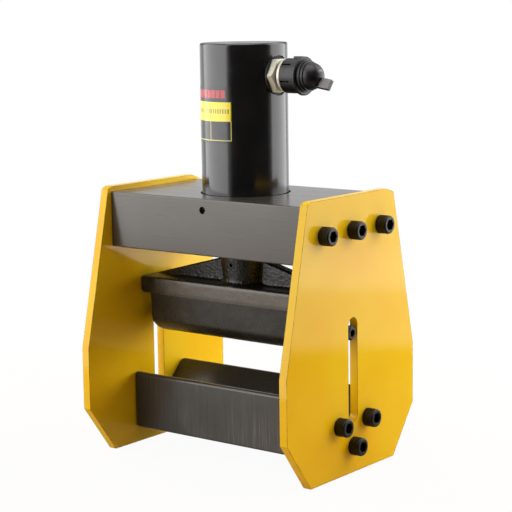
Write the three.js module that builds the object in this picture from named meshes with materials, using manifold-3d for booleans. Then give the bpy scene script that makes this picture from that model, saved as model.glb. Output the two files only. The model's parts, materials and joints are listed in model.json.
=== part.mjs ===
// Hydraulic busbar bender.
// Two yellow side plates carry a steel head block above and a grooved die below.
// A single-acting cylinder stands in the head block. Its rod pushes a cast punch down
// into the die's groove, and a spring round the rod lifts the punch again.
// Millimetres. X runs across the bender from plate to plate, Y runs front to back along the
// busbar, Z is up. The origin is on the ground, midway between the plates.

import * as THREE from 'three';
import { mergeVertices } from 'three/addons/utils/BufferGeometryUtils.js';
import Module from 'manifold-3d';

const wasm = await Module();
wasm.setup();

// Driving sizes

// Space for the bar
const platesApart = 220;
const daylight = 36.8;

// Clearances
const faceGap = 0.1;
const turnedGap = 0.3;
const cutOverrun = 5;
const weldDistance = 0.001;

// Side plates
const plateThickness = 8;
const plateFootHalfDepth = 65;
const plateWidestHalfDepth = 98.5;
const plateTopHalfDepth = 66;
const plateLowerShoulder = 45;
const plateUpperShoulder = 102;
const plateProud = 4.5;
const plateFrontCornerRun = 4.8;
const plateFrontCornerDrop = 2.2;
const plateRearCornerRun = 11.6;
const plateRearCornerDrop = 3.7;
const plateEdgeBevel = 0.7;
const slotWidth = 14;
const slotHeadroom = 7.4;
const slotRunOut = 17.7;

// Lower die
const dieLift = 16;
const dieFloor = 20.4;
const grooveHalfOpening = 33.6;
const grooveRootHalfWidth = 1.2;
const dieLand = 4.4;
const dieEdgeRound = 3;
const dieEndRound = 4.5;
const dieBoltHalfSpacing = 22;
const dieBoltWall = 3.2;
const dieLowerBoltShare = 0.42;

// Upper punch
const punchEndGap = 1;
const punchBodyInset = 13.6;
const flangeHalfDepth = 27;
const flangeThickness = 16;
const flangeCornerRound = 4;
const flangeEdgeRound = 2.4;
const punchLip = 0.4;
const punchBodyHeight = 38.7;
const punchDraft = 1.6;
const noseSagitta = 13.1;
const punchEndRound = 0.8;
const bossHeight = 28.5;
const bossSetback = 2.4;
const bossFlareWidthShare = 0.33;
const bossFlareHeightShare = 0.67;
const bossTopChamfer = 1.5;
const webThickness = 12;
const webBossHeight = 22.2;
const webEdgeRound = 1.6;
const grooveBottomGap = 1.4;
const rodSocketFloor = 4;

// Head block
const blockHalfDepth = 63;
const blockHeight = 51.3;
const blockEdgeRound = 1.4;
const blockEndRound = 1;
const blockMouthWidth = 1.3;
const blockMouthDepth = 3;
const headBoltEdge = 19;
const headBoltDrop = 0.7;

// Cylinder
const cylinderBore = 60;
const cylinderWall = 9.75;
const cylinderFootRecess = 1.3;
const cylinderCrown = 43.5;
const cylinderTopChamfer = 2;
const cylinderFootChamfer = 0.8;
const boreMouthChamfer = 0.8;

// Gland in the foot of the cylinder
const glandLength = 24.5;
const rodSealWidth = 6;
const rodSealDepth = 4.2;
const rodSealRise = 9.5;
const wiperWidth = 4;
const wiperDepth = 3.2;
const wiperLipShare = 0.33;
const glandPinHoleDiameter = 4.6;
const glandPinHoleDepth = 5;
const glandPinHoleShare = 0.62;

// Ram
const pistonLength = 24;
const pistonReliefDepth = 1.5;
const pistonReliefRadius = 24;
const pistonEdgeChamfer = 1;
const pistonSealWidth = 6.5;
const pistonSealDepth = 4.6;
const pistonSealDrop = 4;
const guideRingWidth = 5;
const guideRingDepth = 2.2;
const guideRingRise = 3;
const rodDiameter = 38;
const rodShoulder = 4;
const rodShowing = 4.2;
const rodEndChamfer = 1.2;
const rodThreadRadius = 11;
const rodThreadLength = 15;
const rodDetentDepth = 1.4;
const rodDetentHalfWidth = 3.2;

// Return spring
const returnWire = 4;
const returnTurns = 9;
const returnSpareTravel = 1.7;
const closedTurnGap = 0.7;

// Cap screws of the frame
const capScrewDiameter = 10;
const capScrewHeadDiameter = 16.5;
const capScrewHeadHeight = 10.7;
const capScrewHeadChamfer = 1.7;
const capScrewSocketAcrossFlats = 9.2;
const capScrewSocketDepth = 5.5;
const capScrewThreadLength = 18;
const capScrewHoleSlack = 0.5;
const tappedHoleSpare = 3;
const threadTipChamfer = 1;

// Guide screws of the punch
const guideScrewRise = 20;
const guideShoulderDiameter = 13;
const guideShoulderRecess = 0.3;
const guideShoulderChamfer = 1.2;
const guideSocketAcrossFlats = 6.6;
const guideSocketDepth = 4.5;
const guideThreadDiameter = 8;
const guideThreadLength = 16;

// Set screws
const punchSetScrewDiameter = 8;
const punchSetScrewRise = 19;
const punchSetScrewSunk = 1.2;
const punchSetScrewSocket = 4;
const punchSetScrewDogLength = 1.1;
const punchSetScrewDogShare = 0.62;
const blockSetScrewDiameter = 6;
const blockSetScrewDrop = 10.3;
const blockSetScrewSunk = 3.5;
const blockSetScrewSocket = 3;
const setScrewSocketDepth = 3;

// Oil port
const portRise = 14.4;
const portDiameter = 16.4;
const portDepth = 20;
const spotFaceDepth = 3.2;
const spotFaceDiameter = 36;
const oilWayDiameter = 5;
const oilWayWall = 2;

// Coupler
const sealWasherThickness = 2.1;
const sealWasherDiameter = 34;
const nippleHexAcrossFlats = 29.4;
const nippleHexLength = 7.2;
const nippleHexChamfer = 1.6;
const nippleShankLength = 13;
const nippleBoreDiameter = 7;
const nippleSpigotDiameter = 20;
const nippleSpigotLength = 5.6;
const barrelGap = 2;
const collarDiameter = 30.6;
const collarWidth = 2.5;
const collarChamfer = 0.6;
const barrelDiameter = 26;
const barrelLength = 14;
const barrelTipChamfer = 1.2;
const valveChamberDiameter = 17;
const valveSeatDiameter = 10.4;
const valveSeatLand = 2;
const poppetHeadLength = 2.4;
const poppetConeLength = 2.4;
const valveWire = 0.8;
const valveTurns = 3;

// Dust cap
const skirtDiameter = 31;
const skirtLength = 14.9;
const skirtSlitWidth = 1.7;
const skirtSlitLength = 10.4;
const skirtSlitCount = 6;
const skirtSlitTurn = -17;
const capFlangeDiameter = 34.4;
const capFlangeThickness = 3.5;
const capFlangeRound = 0.9;
const capStepDiameter = 29;
const capStepLength = 2.8;
const capSecondStepDiameter = 26.8;
const capSecondStepLength = 2.6;
const capDomeDiameter = 24.6;
const capRoof = 2.2;
const tabWidth = 8.8;
const tabLength = 17;
const tabThickness = 4.2;
const tabRootDepth = 5;
const tabDrop = 5.7;
const tabLean = 28;
const tabDroop = 9;
const tabCornerRound = 1.2;
const lugWidth = 4;
const lugLength = 9;
const lugThickness = 1.2;

// Facets
const bigRound = 64;
const bossRound = 40;
const rodRound = 32;
const boreRound = 24;
const capRound = 28;
const couplerRound = 24;
const screwRound = 18;
const smallRound = 12;
const cornerSteps = 3;
const noseSteps = 9;
const springSides = 5;
const springStepsPerTurn = 8;

// Places worked out from the driving sizes

const halfRoom = platesApart / 2;
const sqrtTwo = Math.SQRT2;
const hexCornerRatio = 1 / Math.cos(Math.PI / 6);
const capScrewHoleRadius = capScrewDiameter / 2 + turnedGap;

const grooveRoot = dieLift + dieFloor;
const dieTop = grooveRoot + grooveHalfOpening;
const dieHalfDepth = grooveHalfOpening + dieLand;
const dieUpperBoltZ = grooveRoot + dieBoltHalfSpacing - (capScrewHoleRadius + dieBoltWall) * sqrtTwo;
const dieLowerBoltZ = dieLift + dieFloor * dieLowerBoltShare;

const noseLow = dieTop + daylight;
const flangeLow = noseLow + punchBodyHeight;
const flangeTop = flangeLow + flangeThickness;
const bossTop = flangeTop + bossHeight;
const bossRadius = flangeHalfDepth - bossSetback;
const bodyHalfDepth = flangeHalfDepth - punchLip;
const noseHalfDepth = bodyHalfDepth - punchDraft;
const noseRadius = (noseHalfDepth ** 2 + noseSagitta ** 2) / (2 * noseSagitta);
const flangeHalfLength = halfRoom - punchEndGap;
const bodyHalfLength = halfRoom - punchBodyInset;
const guideZ = noseLow + guideScrewRise;
const punchSetScrewZ = flangeTop + punchSetScrewRise;

// The ram stops when the punch nose is just short of the groove's two faces
const noseCentreDown = grooveRoot + (noseRadius + grooveBottomGap) * sqrtTwo;
const stroke = noseLow + noseRadius - noseCentreDown;

const blockLow = bossTop + rodShowing;
const blockTop = blockLow + blockHeight;
const headBoltZ = blockLow + blockHeight / 2 - headBoltDrop;
const headBoltSpacing = blockHalfDepth - headBoltEdge;
const plateTop = blockTop + plateProud;
const slotTop = guideZ + slotHeadroom;
const slotFoot = guideZ - stroke - slotRunOut;

const boreRadius = cylinderBore / 2;
const cylinderRadius = boreRadius + cylinderWall;
const cylinderFoot = blockLow + cylinderFootRecess;
const glandTop = cylinderFoot + glandLength;
const springSolidHeight = returnWire * returnTurns;
const pistonLow = glandTop + stroke + springSolidHeight + returnSpareTravel;
const pistonTop = pistonLow + pistonLength;
const boreRoof = pistonTop + turnedGap;
const cylinderTop = boreRoof + cylinderCrown;
const pistonRadius = boreRadius - turnedGap;
const rodRadius = rodDiameter / 2;
const rodSpigotRadius = rodRadius - rodShoulder;
const rodSocketZ = flangeTop + rodSocketFloor;
const glandHoleRadius = rodRadius + turnedGap;

const portZ = boreRoof + portRise;
const spotFaceX = cylinderRadius - spotFaceDepth;
const hexX = spotFaceX + sealWasherThickness + 2 * faceGap;
const collarX = hexX + nippleHexLength + barrelGap;
const skirtX = collarX + collarWidth + faceGap;
const barrelTipX = collarX + collarWidth + barrelLength;
const nippleTipX = hexX + nippleHexLength + nippleSpigotLength;
const skirtTipX = skirtX + skirtLength;
const domeX = skirtTipX + capFlangeThickness + capStepLength + capSecondStepLength;

// Finishes
const finishes = {
  yellowPaint: { color: 0xeeb320, roughness: 0.35, metalness: 0.05 },
  blackPaint: { color: 0x1b1b1d, roughness: 0.25, metalness: 0.1 },
  darkSteel: { color: 0x5b5754, roughness: 0.42, metalness: 0.75 },
  castIron: { color: 0x4a443f, roughness: 0.75, metalness: 0.5 },
  blackOxide: { color: 0x1d1c1c, roughness: 0.45, metalness: 0.6 },
  chrome: { color: 0xc9cbcd, roughness: 0.12, metalness: 1 },
  plating: { color: 0xbdb9a0, roughness: 0.35, metalness: 0.9 },
  springSteel: { color: 0x6b6c70, roughness: 0.4, metalness: 0.9 },
  bronze: { color: 0xa67c43, roughness: 0.4, metalness: 0.9 },
  rubber: { color: 0x161616, roughness: 0.8, metalness: 0 },
  blackPlastic: { color: 0x232325, roughness: 0.45, metalness: 0 },
};

// Solids

// Turns a closed three.js geometry into a solid that can be joined and cut
function solid(geometry) {
  const bare = geometry.clone();
  bare.deleteAttribute('normal');
  bare.deleteAttribute('uv');
  const welded = mergeVertices(bare, weldDistance);
  const places = welded.attributes.position.array;
  const corners = welded.index.array;
  const kept = [];
  let volume = 0;
  for (let i = 0; i < corners.length; i += 3) {
    const [a, b, c] = [corners[i], corners[i + 1], corners[i + 2]];
    if (a === b || b === c || c === a) continue;
    kept.push(a, b, c);
    const [pa, pb, pc] = [a, b, c].map((n) => new THREE.Vector3().fromArray(places, 3 * n));
    volume += pa.dot(pb.cross(pc));
  }
  if (volume < 0) kept.reverse();
  return new wasm.Manifold(new wasm.Mesh({
    numProp: 3,
    vertProperties: new Float32Array(places),
    triVerts: new Uint32Array(kept),
  }));
}

const join = (...solids) => solids.reduce((whole, piece) => whole.add(piece));
const cut = (body, ...tools) => tools.reduce((left, tool) => left.subtract(tool), body);

// Revolves a profile of [radius, height] points about the Z axis
function turned(profile, facets) {
  const points = profile.map(([radius, height]) => new THREE.Vector2(radius, height));
  return new THREE.LatheGeometry(points, facets).rotateX(Math.PI / 2);
}

// The same about the X axis, with [radius, x] points
function turnedAcross(profile, facets) {
  const points = profile.map(([radius, x]) => new THREE.Vector2(radius, x));
  return new THREE.LatheGeometry(points, facets).rotateZ(-Math.PI / 2);
}

// A plain round bar or drill along Z, X or Y
const bar = (radius, from, to) => [[0, from], [radius, from], [radius, to], [0, to]];

function drillAcross(radius, fromX, toX, y, z, facets = screwRound) {
  return solid(turnedAcross(bar(radius, fromX, toX), facets).translate(0, y, z));
}

function drillAlong(radius, fromY, toY, x, z, facets = screwRound) {
  return solid(turned(bar(radius, fromY, toY), facets).rotateX(-Math.PI / 2).translate(x, 0, z));
}

// A ring of square section about the Z axis
function ring(innerRadius, outerRadius, low, high, facets) {
  return turned([
    [innerRadius, low], [outerRadius, low], [outerRadius, high], [innerRadius, high], [innerRadius, low],
  ], facets);
}

// Extrudes a shape by a whole length, with its ends rounded inside the outline
function extruded(shape, length, endRound, roundSteps = 2) {
  return new THREE.ExtrudeGeometry(shape, {
    depth: length - 2 * endRound,
    bevelEnabled: endRound > 0,
    bevelThickness: endRound,
    bevelSize: endRound,
    bevelOffset: -endRound,
    bevelSegments: roundSteps,
    curveSegments: cornerSteps,
  }).translate(0, 0, endRound);
}

// Lays an extrusion drawn in (Y, Z) along X
const drawnFromSide = new THREE.Matrix4().makeBasis(
  new THREE.Vector3(0, 1, 0),
  new THREE.Vector3(0, 0, 1),
  new THREE.Vector3(1, 0, 0),
);

// Lays an extrusion drawn in (X, Z) along -Y
const drawnFromFront = new THREE.Matrix4().makeBasis(
  new THREE.Vector3(1, 0, 0),
  new THREE.Vector3(0, 0, 1),
  new THREE.Vector3(0, -1, 0),
);

// A counterclockwise polygon whose outer corners are rounded by the radius given with each point
function roundedOutline(corners) {
  const shape = new THREE.Shape();
  corners.forEach(([x, y, radius], i) => {
    const here = new THREE.Vector2(x, y);
    const before = new THREE.Vector2(...corners.at(i - 1).slice(0, 2)).sub(here).normalize();
    const after = new THREE.Vector2(...corners[(i + 1) % corners.length].slice(0, 2)).sub(here).normalize();
    const halfAngle = Math.acos(before.dot(after)) / 2;
    const start = here.clone().addScaledVector(before, radius / Math.tan(halfAngle));
    if (i === 0) shape.moveTo(start.x, start.y);
    else shape.lineTo(start.x, start.y);
    if (radius === 0) return;
    const inward = before.clone().add(after).normalize();
    const centre = here.clone().addScaledVector(inward, radius / Math.sin(halfAngle));
    const middle = inward.negate().angle();
    const halfSweep = Math.PI / 2 - halfAngle;
    shape.absarc(centre.x, centre.y, radius, middle - halfSweep, middle + halfSweep);
  });
  shape.closePath();
  return shape;
}

// A rectangle seen from above, centred on the origin, with rounded corners
function planOutline(halfLength, halfDepth, cornerRadius) {
  return roundedOutline([
    [-halfLength, -halfDepth, cornerRadius],
    [halfLength, -halfDepth, cornerRadius],
    [halfLength, halfDepth, cornerRadius],
    [-halfLength, halfDepth, cornerRadius],
  ]);
}

// A hexagon prism along X, by its width across flats, with flats facing up and down
function hexPrism(acrossFlats, fromX, toX) {
  const cornerRadius = acrossFlats / 2 * hexCornerRatio;
  return turnedAcross(bar(cornerRadius, fromX, toX), 6).rotateX(Math.PI / 6);
}

const part = new THREE.Group();
part.name = 'busbar_bender';
const frame = new THREE.Group();
const ram = new THREE.Group();
const coupler = new THREE.Group();
part.add(frame, ram, coupler);

function addPiece(group, name, piece, finish) {
  const { vertProperties, triVerts } = piece.getMesh();
  const geometry = new THREE.BufferGeometry();
  geometry.setAttribute('position', new THREE.BufferAttribute(vertProperties, 3));
  geometry.setIndex(new THREE.BufferAttribute(triVerts, 1));
  geometry.computeVertexNormals();
  const mesh = new THREE.Mesh(geometry, new THREE.MeshStandardMaterial(finishes[finish]));
  mesh.name = name;
  group.add(mesh);
  return mesh;
}

// Side plates

const headBoltPlaces = {
  front: [-headBoltSpacing, headBoltZ],
  middle: [0, headBoltZ],
  rear: [headBoltSpacing, headBoltZ],
};

const dieBoltPlaces = {
  front: [-dieBoltHalfSpacing, dieUpperBoltZ],
  rear: [dieBoltHalfSpacing, dieUpperBoltZ],
  lower: [0, dieLowerBoltZ],
};

const boltPlaces = [...Object.values(headBoltPlaces), ...Object.values(dieBoltPlaces)];

// A long hole through a side plate, with round ends
function plateSlot() {
  const shape = new THREE.Shape();
  shape.absarc(0, slotTop, slotWidth / 2, 0, Math.PI);
  shape.absarc(0, slotFoot, slotWidth / 2, Math.PI, 2 * Math.PI);
  shape.closePath();
  const through = new THREE.ExtrudeGeometry(shape, {
    depth: plateThickness + 2 * cutOverrun,
    bevelEnabled: false,
    curveSegments: smallRound / 2,
  });
  return solid(through.translate(0, 0, -cutOverrun).applyMatrix4(drawnFromSide));
}

// A cut plate: narrow foot, widest at the die, tapering to the head
function sidePlate() {
  const outline = new THREE.Shape([
    [-plateFootHalfDepth, 0],
    [plateFootHalfDepth, 0],
    [plateWidestHalfDepth, plateLowerShoulder],
    [plateWidestHalfDepth, plateUpperShoulder],
    [plateTopHalfDepth, plateTop - plateRearCornerDrop],
    [plateTopHalfDepth - plateRearCornerRun, plateTop],
    [-plateTopHalfDepth + plateFrontCornerRun, plateTop],
    [-plateTopHalfDepth, plateTop - plateFrontCornerDrop],
    [-plateWidestHalfDepth, plateUpperShoulder],
    [-plateWidestHalfDepth, plateLowerShoulder],
  ].map(([y, z]) => new THREE.Vector2(y, z)));
  const sheet = solid(extruded(outline, plateThickness, plateEdgeBevel, 1).applyMatrix4(drawnFromSide));
  const holes = boltPlaces.map(([y, z]) => drillAcross(
    capScrewHoleRadius + capScrewHoleSlack, -cutOverrun, plateThickness + cutOverrun, y, z,
  ));
  return cut(sheet, plateSlot(), ...holes);
}

const plate = sidePlate();
addPiece(frame, 'right_side_plate', plate, 'yellowPaint').position.x = halfRoom;
addPiece(frame, 'left_side_plate', plate, 'yellowPaint').position.x = -halfRoom - plateThickness;

// Tapped holes for the frame's screws, in both ends of a piece between the plates
function tappedEnds(places) {
  const depth = capScrewThreadLength + tappedHoleSpare;
  return places.flatMap(([y, z]) => [
    drillAcross(capScrewHoleRadius, halfRoom - depth, halfRoom + cutOverrun, y, z),
    drillAcross(capScrewHoleRadius, -halfRoom - cutOverrun, -halfRoom + depth, y, z),
  ]);
}

// Lays an extrusion drawn from the side between the two plates
function betweenPlates(shape, endRound) {
  const length = platesApart - 2 * faceGap;
  return solid(extruded(shape, length, endRound).translate(0, 0, -length / 2).applyMatrix4(drawnFromSide));
}

// Lower die: a bar with a right-angled groove and two narrow lands

function lowerDie() {
  const root = grooveRootHalfWidth;
  const section = roundedOutline([
    [-dieHalfDepth, dieLift, dieEdgeRound],
    [dieHalfDepth, dieLift, dieEdgeRound],
    [dieHalfDepth, dieTop, dieEdgeRound],
    [grooveHalfOpening, dieTop, 0],
    [root, grooveRoot + root, 0],
    [-root, grooveRoot + root, 0],
    [-grooveHalfOpening, dieTop, 0],
    [-dieHalfDepth, dieTop, dieEdgeRound],
  ]);
  const plan = planOutline(halfRoom - faceGap, dieHalfDepth, dieEndRound);
  const height = dieTop - dieLift + 2 * cutOverrun;
  const trim = solid(extruded(plan, height, 0).translate(0, 0, dieLift - cutOverrun));
  return cut(betweenPlates(section, 0).intersect(trim), ...tappedEnds(Object.values(dieBoltPlaces)));
}

addPiece(frame, 'lower_die', lowerDie(), 'darkSteel');

// Head block: a heavy bar bored for the cylinder, with a set screw in front

const blockSetScrewZ = blockTop - blockSetScrewDrop;

function headBlock() {
  const section = roundedOutline([
    [-blockHalfDepth, blockLow, blockEdgeRound],
    [blockHalfDepth, blockLow, blockEdgeRound],
    [blockHalfDepth, blockTop, blockEdgeRound],
    [-blockHalfDepth, blockTop, blockEdgeRound],
  ]);
  const boreR = cylinderRadius + turnedGap;
  const bore = solid(turned([
    [0, blockLow - cutOverrun],
    [boreR, blockLow - cutOverrun],
    [boreR, blockTop - blockMouthDepth],
    [boreR + blockMouthWidth, blockTop - blockMouthDepth],
    [boreR + blockMouthWidth, blockTop + cutOverrun],
    [0, blockTop + cutOverrun],
  ], bigRound));
  const setScrewHole = drillAlong(
    blockSetScrewDiameter / 2 + turnedGap,
    -blockHalfDepth - cutOverrun, -boreR + cutOverrun, 0, blockSetScrewZ,
  );
  return cut(
    betweenPlates(section, blockEndRound), bore, setScrewHole, ...tappedEnds(Object.values(headBoltPlaces)),
  );
}

addPiece(frame, 'head_block', headBlock(), 'darkSteel');

// Socket head cap screws, drawn along X with the seat of the head at zero

function capScrew() {
  const headRadius = capScrewHeadDiameter / 2;
  const shankRadius = capScrewDiameter / 2;
  const tip = -plateThickness - faceGap - capScrewThreadLength;
  const body = solid(turnedAcross([
    [0, tip],
    [shankRadius, tip],
    [shankRadius, 0],
    [headRadius, 0],
    [headRadius, capScrewHeadHeight - capScrewHeadChamfer],
    [headRadius - capScrewHeadChamfer, capScrewHeadHeight],
    [0, capScrewHeadHeight],
  ], screwRound));
  const socketFloor = capScrewHeadHeight - capScrewSocketDepth;
  return cut(body, solid(hexPrism(capScrewSocketAcrossFlats, socketFloor, capScrewHeadHeight + cutOverrun)));
}

const frameScrew = capScrew();

function addFrameScrews(kind, places) {
  for (const [place, [y, z]] of Object.entries(places)) {
    const right = addPiece(frame, `${kind}_right_${place}`, frameScrew, 'blackOxide');
    right.position.set(halfRoom + plateThickness + faceGap, y, z);
    const left = addPiece(frame, `${kind}_left_${place}`, frameScrew, 'blackOxide');
    left.rotation.z = Math.PI;
    left.position.set(-halfRoom - plateThickness - faceGap, y, z);
  }
}

addFrameScrews('head_bolt', headBoltPlaces);
addFrameScrews('die_bolt', dieBoltPlaces);

// A set screw drawn along -Y: its socket end in front, a flat or dog point behind
function setScrew(radius, frontY, backY, socketAcrossFlats, dogLength, dogRadius) {
  const shoulder = backY - dogLength;
  const body = turned([
    [0, frontY],
    [radius, frontY],
    [radius, shoulder],
    [dogRadius, shoulder],
    [dogRadius, backY],
    [0, backY],
  ], screwRound).rotateX(-Math.PI / 2);
  const socket = hexPrism(socketAcrossFlats, frontY - cutOverrun, frontY + setScrewSocketDepth);
  return cut(solid(body), solid(socket.rotateZ(Math.PI / 2)));
}

const blockSetScrewRadius = blockSetScrewDiameter / 2;
const blockSetScrewPiece = setScrew(
  blockSetScrewRadius, -blockHalfDepth + blockSetScrewSunk, -cylinderRadius - turnedGap,
  blockSetScrewSocket, threadTipChamfer, blockSetScrewRadius - threadTipChamfer,
);
addPiece(frame, 'cylinder_set_screw', blockSetScrewPiece, 'blackOxide').position.z = blockSetScrewZ;

// Cylinder: a thick tube closed at the top, with a spot-faced oil port in its crown

function cylinderTube() {
  const outside = cylinderRadius;
  const body = solid(turned([
    [boreRadius + boreMouthChamfer, cylinderFoot],
    [outside - cylinderFootChamfer, cylinderFoot],
    [outside, cylinderFoot + cylinderFootChamfer],
    [outside, cylinderTop - cylinderTopChamfer],
    [outside - cylinderTopChamfer, cylinderTop],
    [0, cylinderTop],
    [0, boreRoof],
    [boreRadius, boreRoof],
    [boreRadius, cylinderFoot + boreMouthChamfer],
    [boreRadius + boreMouthChamfer, cylinderFoot],
  ], bigRound));
  const spotFace = drillAcross(spotFaceDiameter / 2, spotFaceX, outside + cutOverrun, 0, portZ, couplerRound);
  const portEndX = spotFaceX - portDepth;
  const port = drillAcross(
    portDiameter / 2 + turnedGap, portEndX, outside + cutOverrun, 0, portZ, couplerRound,
  );
  const oilWayRadius = oilWayDiameter / 2;
  const oilWay = solid(
    turned(bar(oilWayRadius, boreRoof - cutOverrun, portZ), smallRound)
      .translate(portEndX + oilWayRadius + oilWayWall, 0, 0),
  );
  return cut(body, spotFace, port, oilWay);
}

addPiece(frame, 'cylinder_tube', cylinderTube(), 'blackPaint');

// Gland: screwed into the tube's foot, carries the rod seal and the wiper

const rodSealLow = cylinderFoot + rodSealRise;

function gland() {
  const hole = glandHoleRadius;
  const outside = boreRadius - turnedGap;
  const rodSealHigh = rodSealLow + rodSealWidth;
  const wiperHigh = cylinderFoot + wiperWidth;
  const body = solid(turned([
    [hole + wiperDepth, cylinderFoot],
    [outside - boreMouthChamfer, cylinderFoot],
    [outside, cylinderFoot + boreMouthChamfer],
    [outside, glandTop],
    [hole, glandTop],
    [hole, rodSealHigh],
    [hole + rodSealDepth, rodSealHigh],
    [hole + rodSealDepth, rodSealLow],
    [hole, rodSealLow],
    [hole, wiperHigh],
    [hole + wiperDepth, wiperHigh],
    [hole + wiperDepth, cylinderFoot],
  ], boreRound));
  const pinHoleX = hole + wiperDepth + (outside - hole - wiperDepth) * glandPinHoleShare;
  const pinHoleTop = cylinderFoot + glandPinHoleDepth;
  const pinHole = bar(glandPinHoleDiameter / 2, cylinderFoot - cutOverrun, pinHoleTop);
  const pinHoles = [-pinHoleX, pinHoleX].map((x) => solid(
    turned(pinHole, smallRound).translate(x, 0, 0),
  ));
  return cut(body, ...pinHoles);
}

addPiece(frame, 'gland_bush', gland(), 'bronze');

const rodSealRing = solid(ring(
  glandHoleRadius, glandHoleRadius + rodSealDepth - turnedGap,
  rodSealLow + turnedGap, rodSealLow + rodSealWidth - turnedGap, boreRound,
));
addPiece(frame, 'rod_seal', rodSealRing, 'rubber');

const wiperOutside = glandHoleRadius + wiperDepth - turnedGap;
const wiperTop = cylinderFoot + wiperWidth - turnedGap;
const wiperRing = solid(turned([
  [glandHoleRadius, cylinderFoot - turnedGap],
  [glandHoleRadius + wiperDepth * wiperLipShare, cylinderFoot - turnedGap],
  [wiperOutside, cylinderFoot + turnedGap],
  [wiperOutside, wiperTop],
  [glandHoleRadius, wiperTop],
  [glandHoleRadius, cylinderFoot - turnedGap],
], boreRound));
addPiece(frame, 'rod_wiper', wiperRing, 'rubber');

// Piston and rod

const pistonSealHigh = pistonTop - pistonSealDrop;
const pistonSealLow = pistonSealHigh - pistonSealWidth;
const guideRingLow = pistonLow + guideRingRise;
const guideRingHigh = guideRingLow + guideRingWidth;

function piston() {
  const outside = pistonRadius;
  const sealFloor = outside - pistonSealDepth;
  const guideFloor = outside - guideRingDepth;
  const threadRadius = rodThreadRadius + turnedGap;
  const threadTop = pistonLow + rodThreadLength + turnedGap;
  return solid(turned([
    [0, threadTop],
    [threadRadius, threadTop],
    [threadRadius, pistonLow],
    [outside - pistonEdgeChamfer, pistonLow],
    [outside, pistonLow + pistonEdgeChamfer],
    [outside, guideRingLow],
    [guideFloor, guideRingLow],
    [guideFloor, guideRingHigh],
    [outside, guideRingHigh],
    [outside, pistonSealLow],
    [sealFloor, pistonSealLow],
    [sealFloor, pistonSealHigh],
    [outside, pistonSealHigh],
    [outside, pistonTop - pistonEdgeChamfer],
    [outside - pistonEdgeChamfer, pistonTop],
    [pistonReliefRadius, pistonTop],
    [pistonReliefRadius, pistonTop - pistonReliefDepth],
    [0, pistonTop - pistonReliefDepth],
  ], boreRound));
}

addPiece(ram, 'piston', piston(), 'darkSteel');

function pistonRing(depth, low, high) {
  const floor = pistonRadius - depth + turnedGap;
  return solid(ring(floor, pistonRadius, low + turnedGap, high - turnedGap, boreRound));
}

addPiece(ram, 'piston_seal', pistonRing(pistonSealDepth, pistonSealLow, pistonSealHigh), 'rubber');
addPiece(ram, 'piston_guide_ring', pistonRing(guideRingDepth, guideRingLow, guideRingHigh), 'bronze');

// The rod: threaded into the piston above, stepped down into the punch below
function pistonRod() {
  const low = rodSocketZ + turnedGap;
  const shoulderZ = bossTop + faceGap;
  const detentFloor = rodSpigotRadius - rodDetentDepth;
  return solid(turned([
    [0, low],
    [rodSpigotRadius - rodEndChamfer, low],
    [rodSpigotRadius, low + rodEndChamfer],
    [rodSpigotRadius, punchSetScrewZ - rodDetentHalfWidth - rodDetentDepth],
    [detentFloor, punchSetScrewZ - rodDetentHalfWidth],
    [detentFloor, punchSetScrewZ + rodDetentHalfWidth],
    [rodSpigotRadius, punchSetScrewZ + rodDetentHalfWidth + rodDetentDepth],
    [rodSpigotRadius, shoulderZ],
    [rodRadius, shoulderZ],
    [rodRadius, pistonLow - faceGap],
    [rodThreadRadius, pistonLow - faceGap],
    [rodThreadRadius, pistonLow + rodThreadLength - threadTipChamfer],
    [rodThreadRadius - threadTipChamfer, pistonLow + rodThreadLength],
    [0, pistonLow + rodThreadLength],
  ], rodRound));
}

addPiece(ram, 'piston_rod', pistonRod(), 'chrome');

// Springs: a helix whose end turns close up, as one unbroken tube

class SpringLine extends THREE.Curve {
  constructor(radius, length, turns, endPitch) {
    super();
    Object.assign(this, { radius, length, turns, endPitch });
  }

  getPoint(t, target = new THREE.Vector3()) {
    const turn = t * this.turns;
    const openPitch = (this.length - 2 * this.endPitch) / (this.turns - 2);
    const inOpen = THREE.MathUtils.clamp(turn - 1, 0, this.turns - 2);
    const rise = (turn - inOpen) * this.endPitch + inOpen * openPitch;
    const angle = 2 * Math.PI * turn;
    return target.set(this.radius * Math.cos(angle), this.radius * Math.sin(angle), rise);
  }
}

function springTube(line, wire) {
  const section = new THREE.Shape();
  section.absarc(0, 0, wire / 2, 0, 2 * Math.PI);
  const sides = new THREE.Shape(section.getSpacedPoints(springSides).slice(0, springSides));
  return new THREE.ExtrudeGeometry(sides, {
    steps: line.turns * springStepsPerTurn,
    extrudePath: line,
    bevelEnabled: false,
  });
}

// The least room between one turn of a spring and the next, measured on its centre line
function leastGap(line, wire) {
  const count = line.turns * springStepsPerTurn;
  const points = line.getPoints(count);
  let least = Infinity;
  for (let i = 0; i <= count; i += 1) {
    for (let j = i + springStepsPerTurn / 2; j <= count; j += 1) {
      least = Math.min(least, points[i].distanceTo(points[j]) - wire);
    }
  }
  return least;
}

const returnSpringLow = glandTop + turnedGap + returnWire / 2;
const returnSpringHigh = pistonLow - turnedGap - returnWire / 2;
const returnSpringLine = new SpringLine(
  (rodRadius + boreRadius) / 2, returnSpringHigh - returnSpringLow, returnTurns, returnWire + closedTurnGap,
);
const returnSpring = solid(springTube(returnSpringLine, returnWire).translate(0, 0, returnSpringLow));
addPiece(ram, 'return_spring', returnSpring, 'springSteel');
console.log(`return spring: least gap to itself ${leastGap(returnSpringLine, returnWire).toFixed(2)} mm`);
console.log(`ram stroke: ${stroke.toFixed(2)} mm`);

// Upper punch: one casting of flange, tapering webs, boss and round-nosed bending bar

// A rectangle in plan with rounded corners, raised to a thickness with rounded edges
function flangePlate() {
  const plan = planOutline(flangeHalfLength, flangeHalfDepth, flangeCornerRound);
  return solid(extruded(plan, flangeThickness, flangeEdgeRound).translate(0, 0, flangeLow));
}

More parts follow.
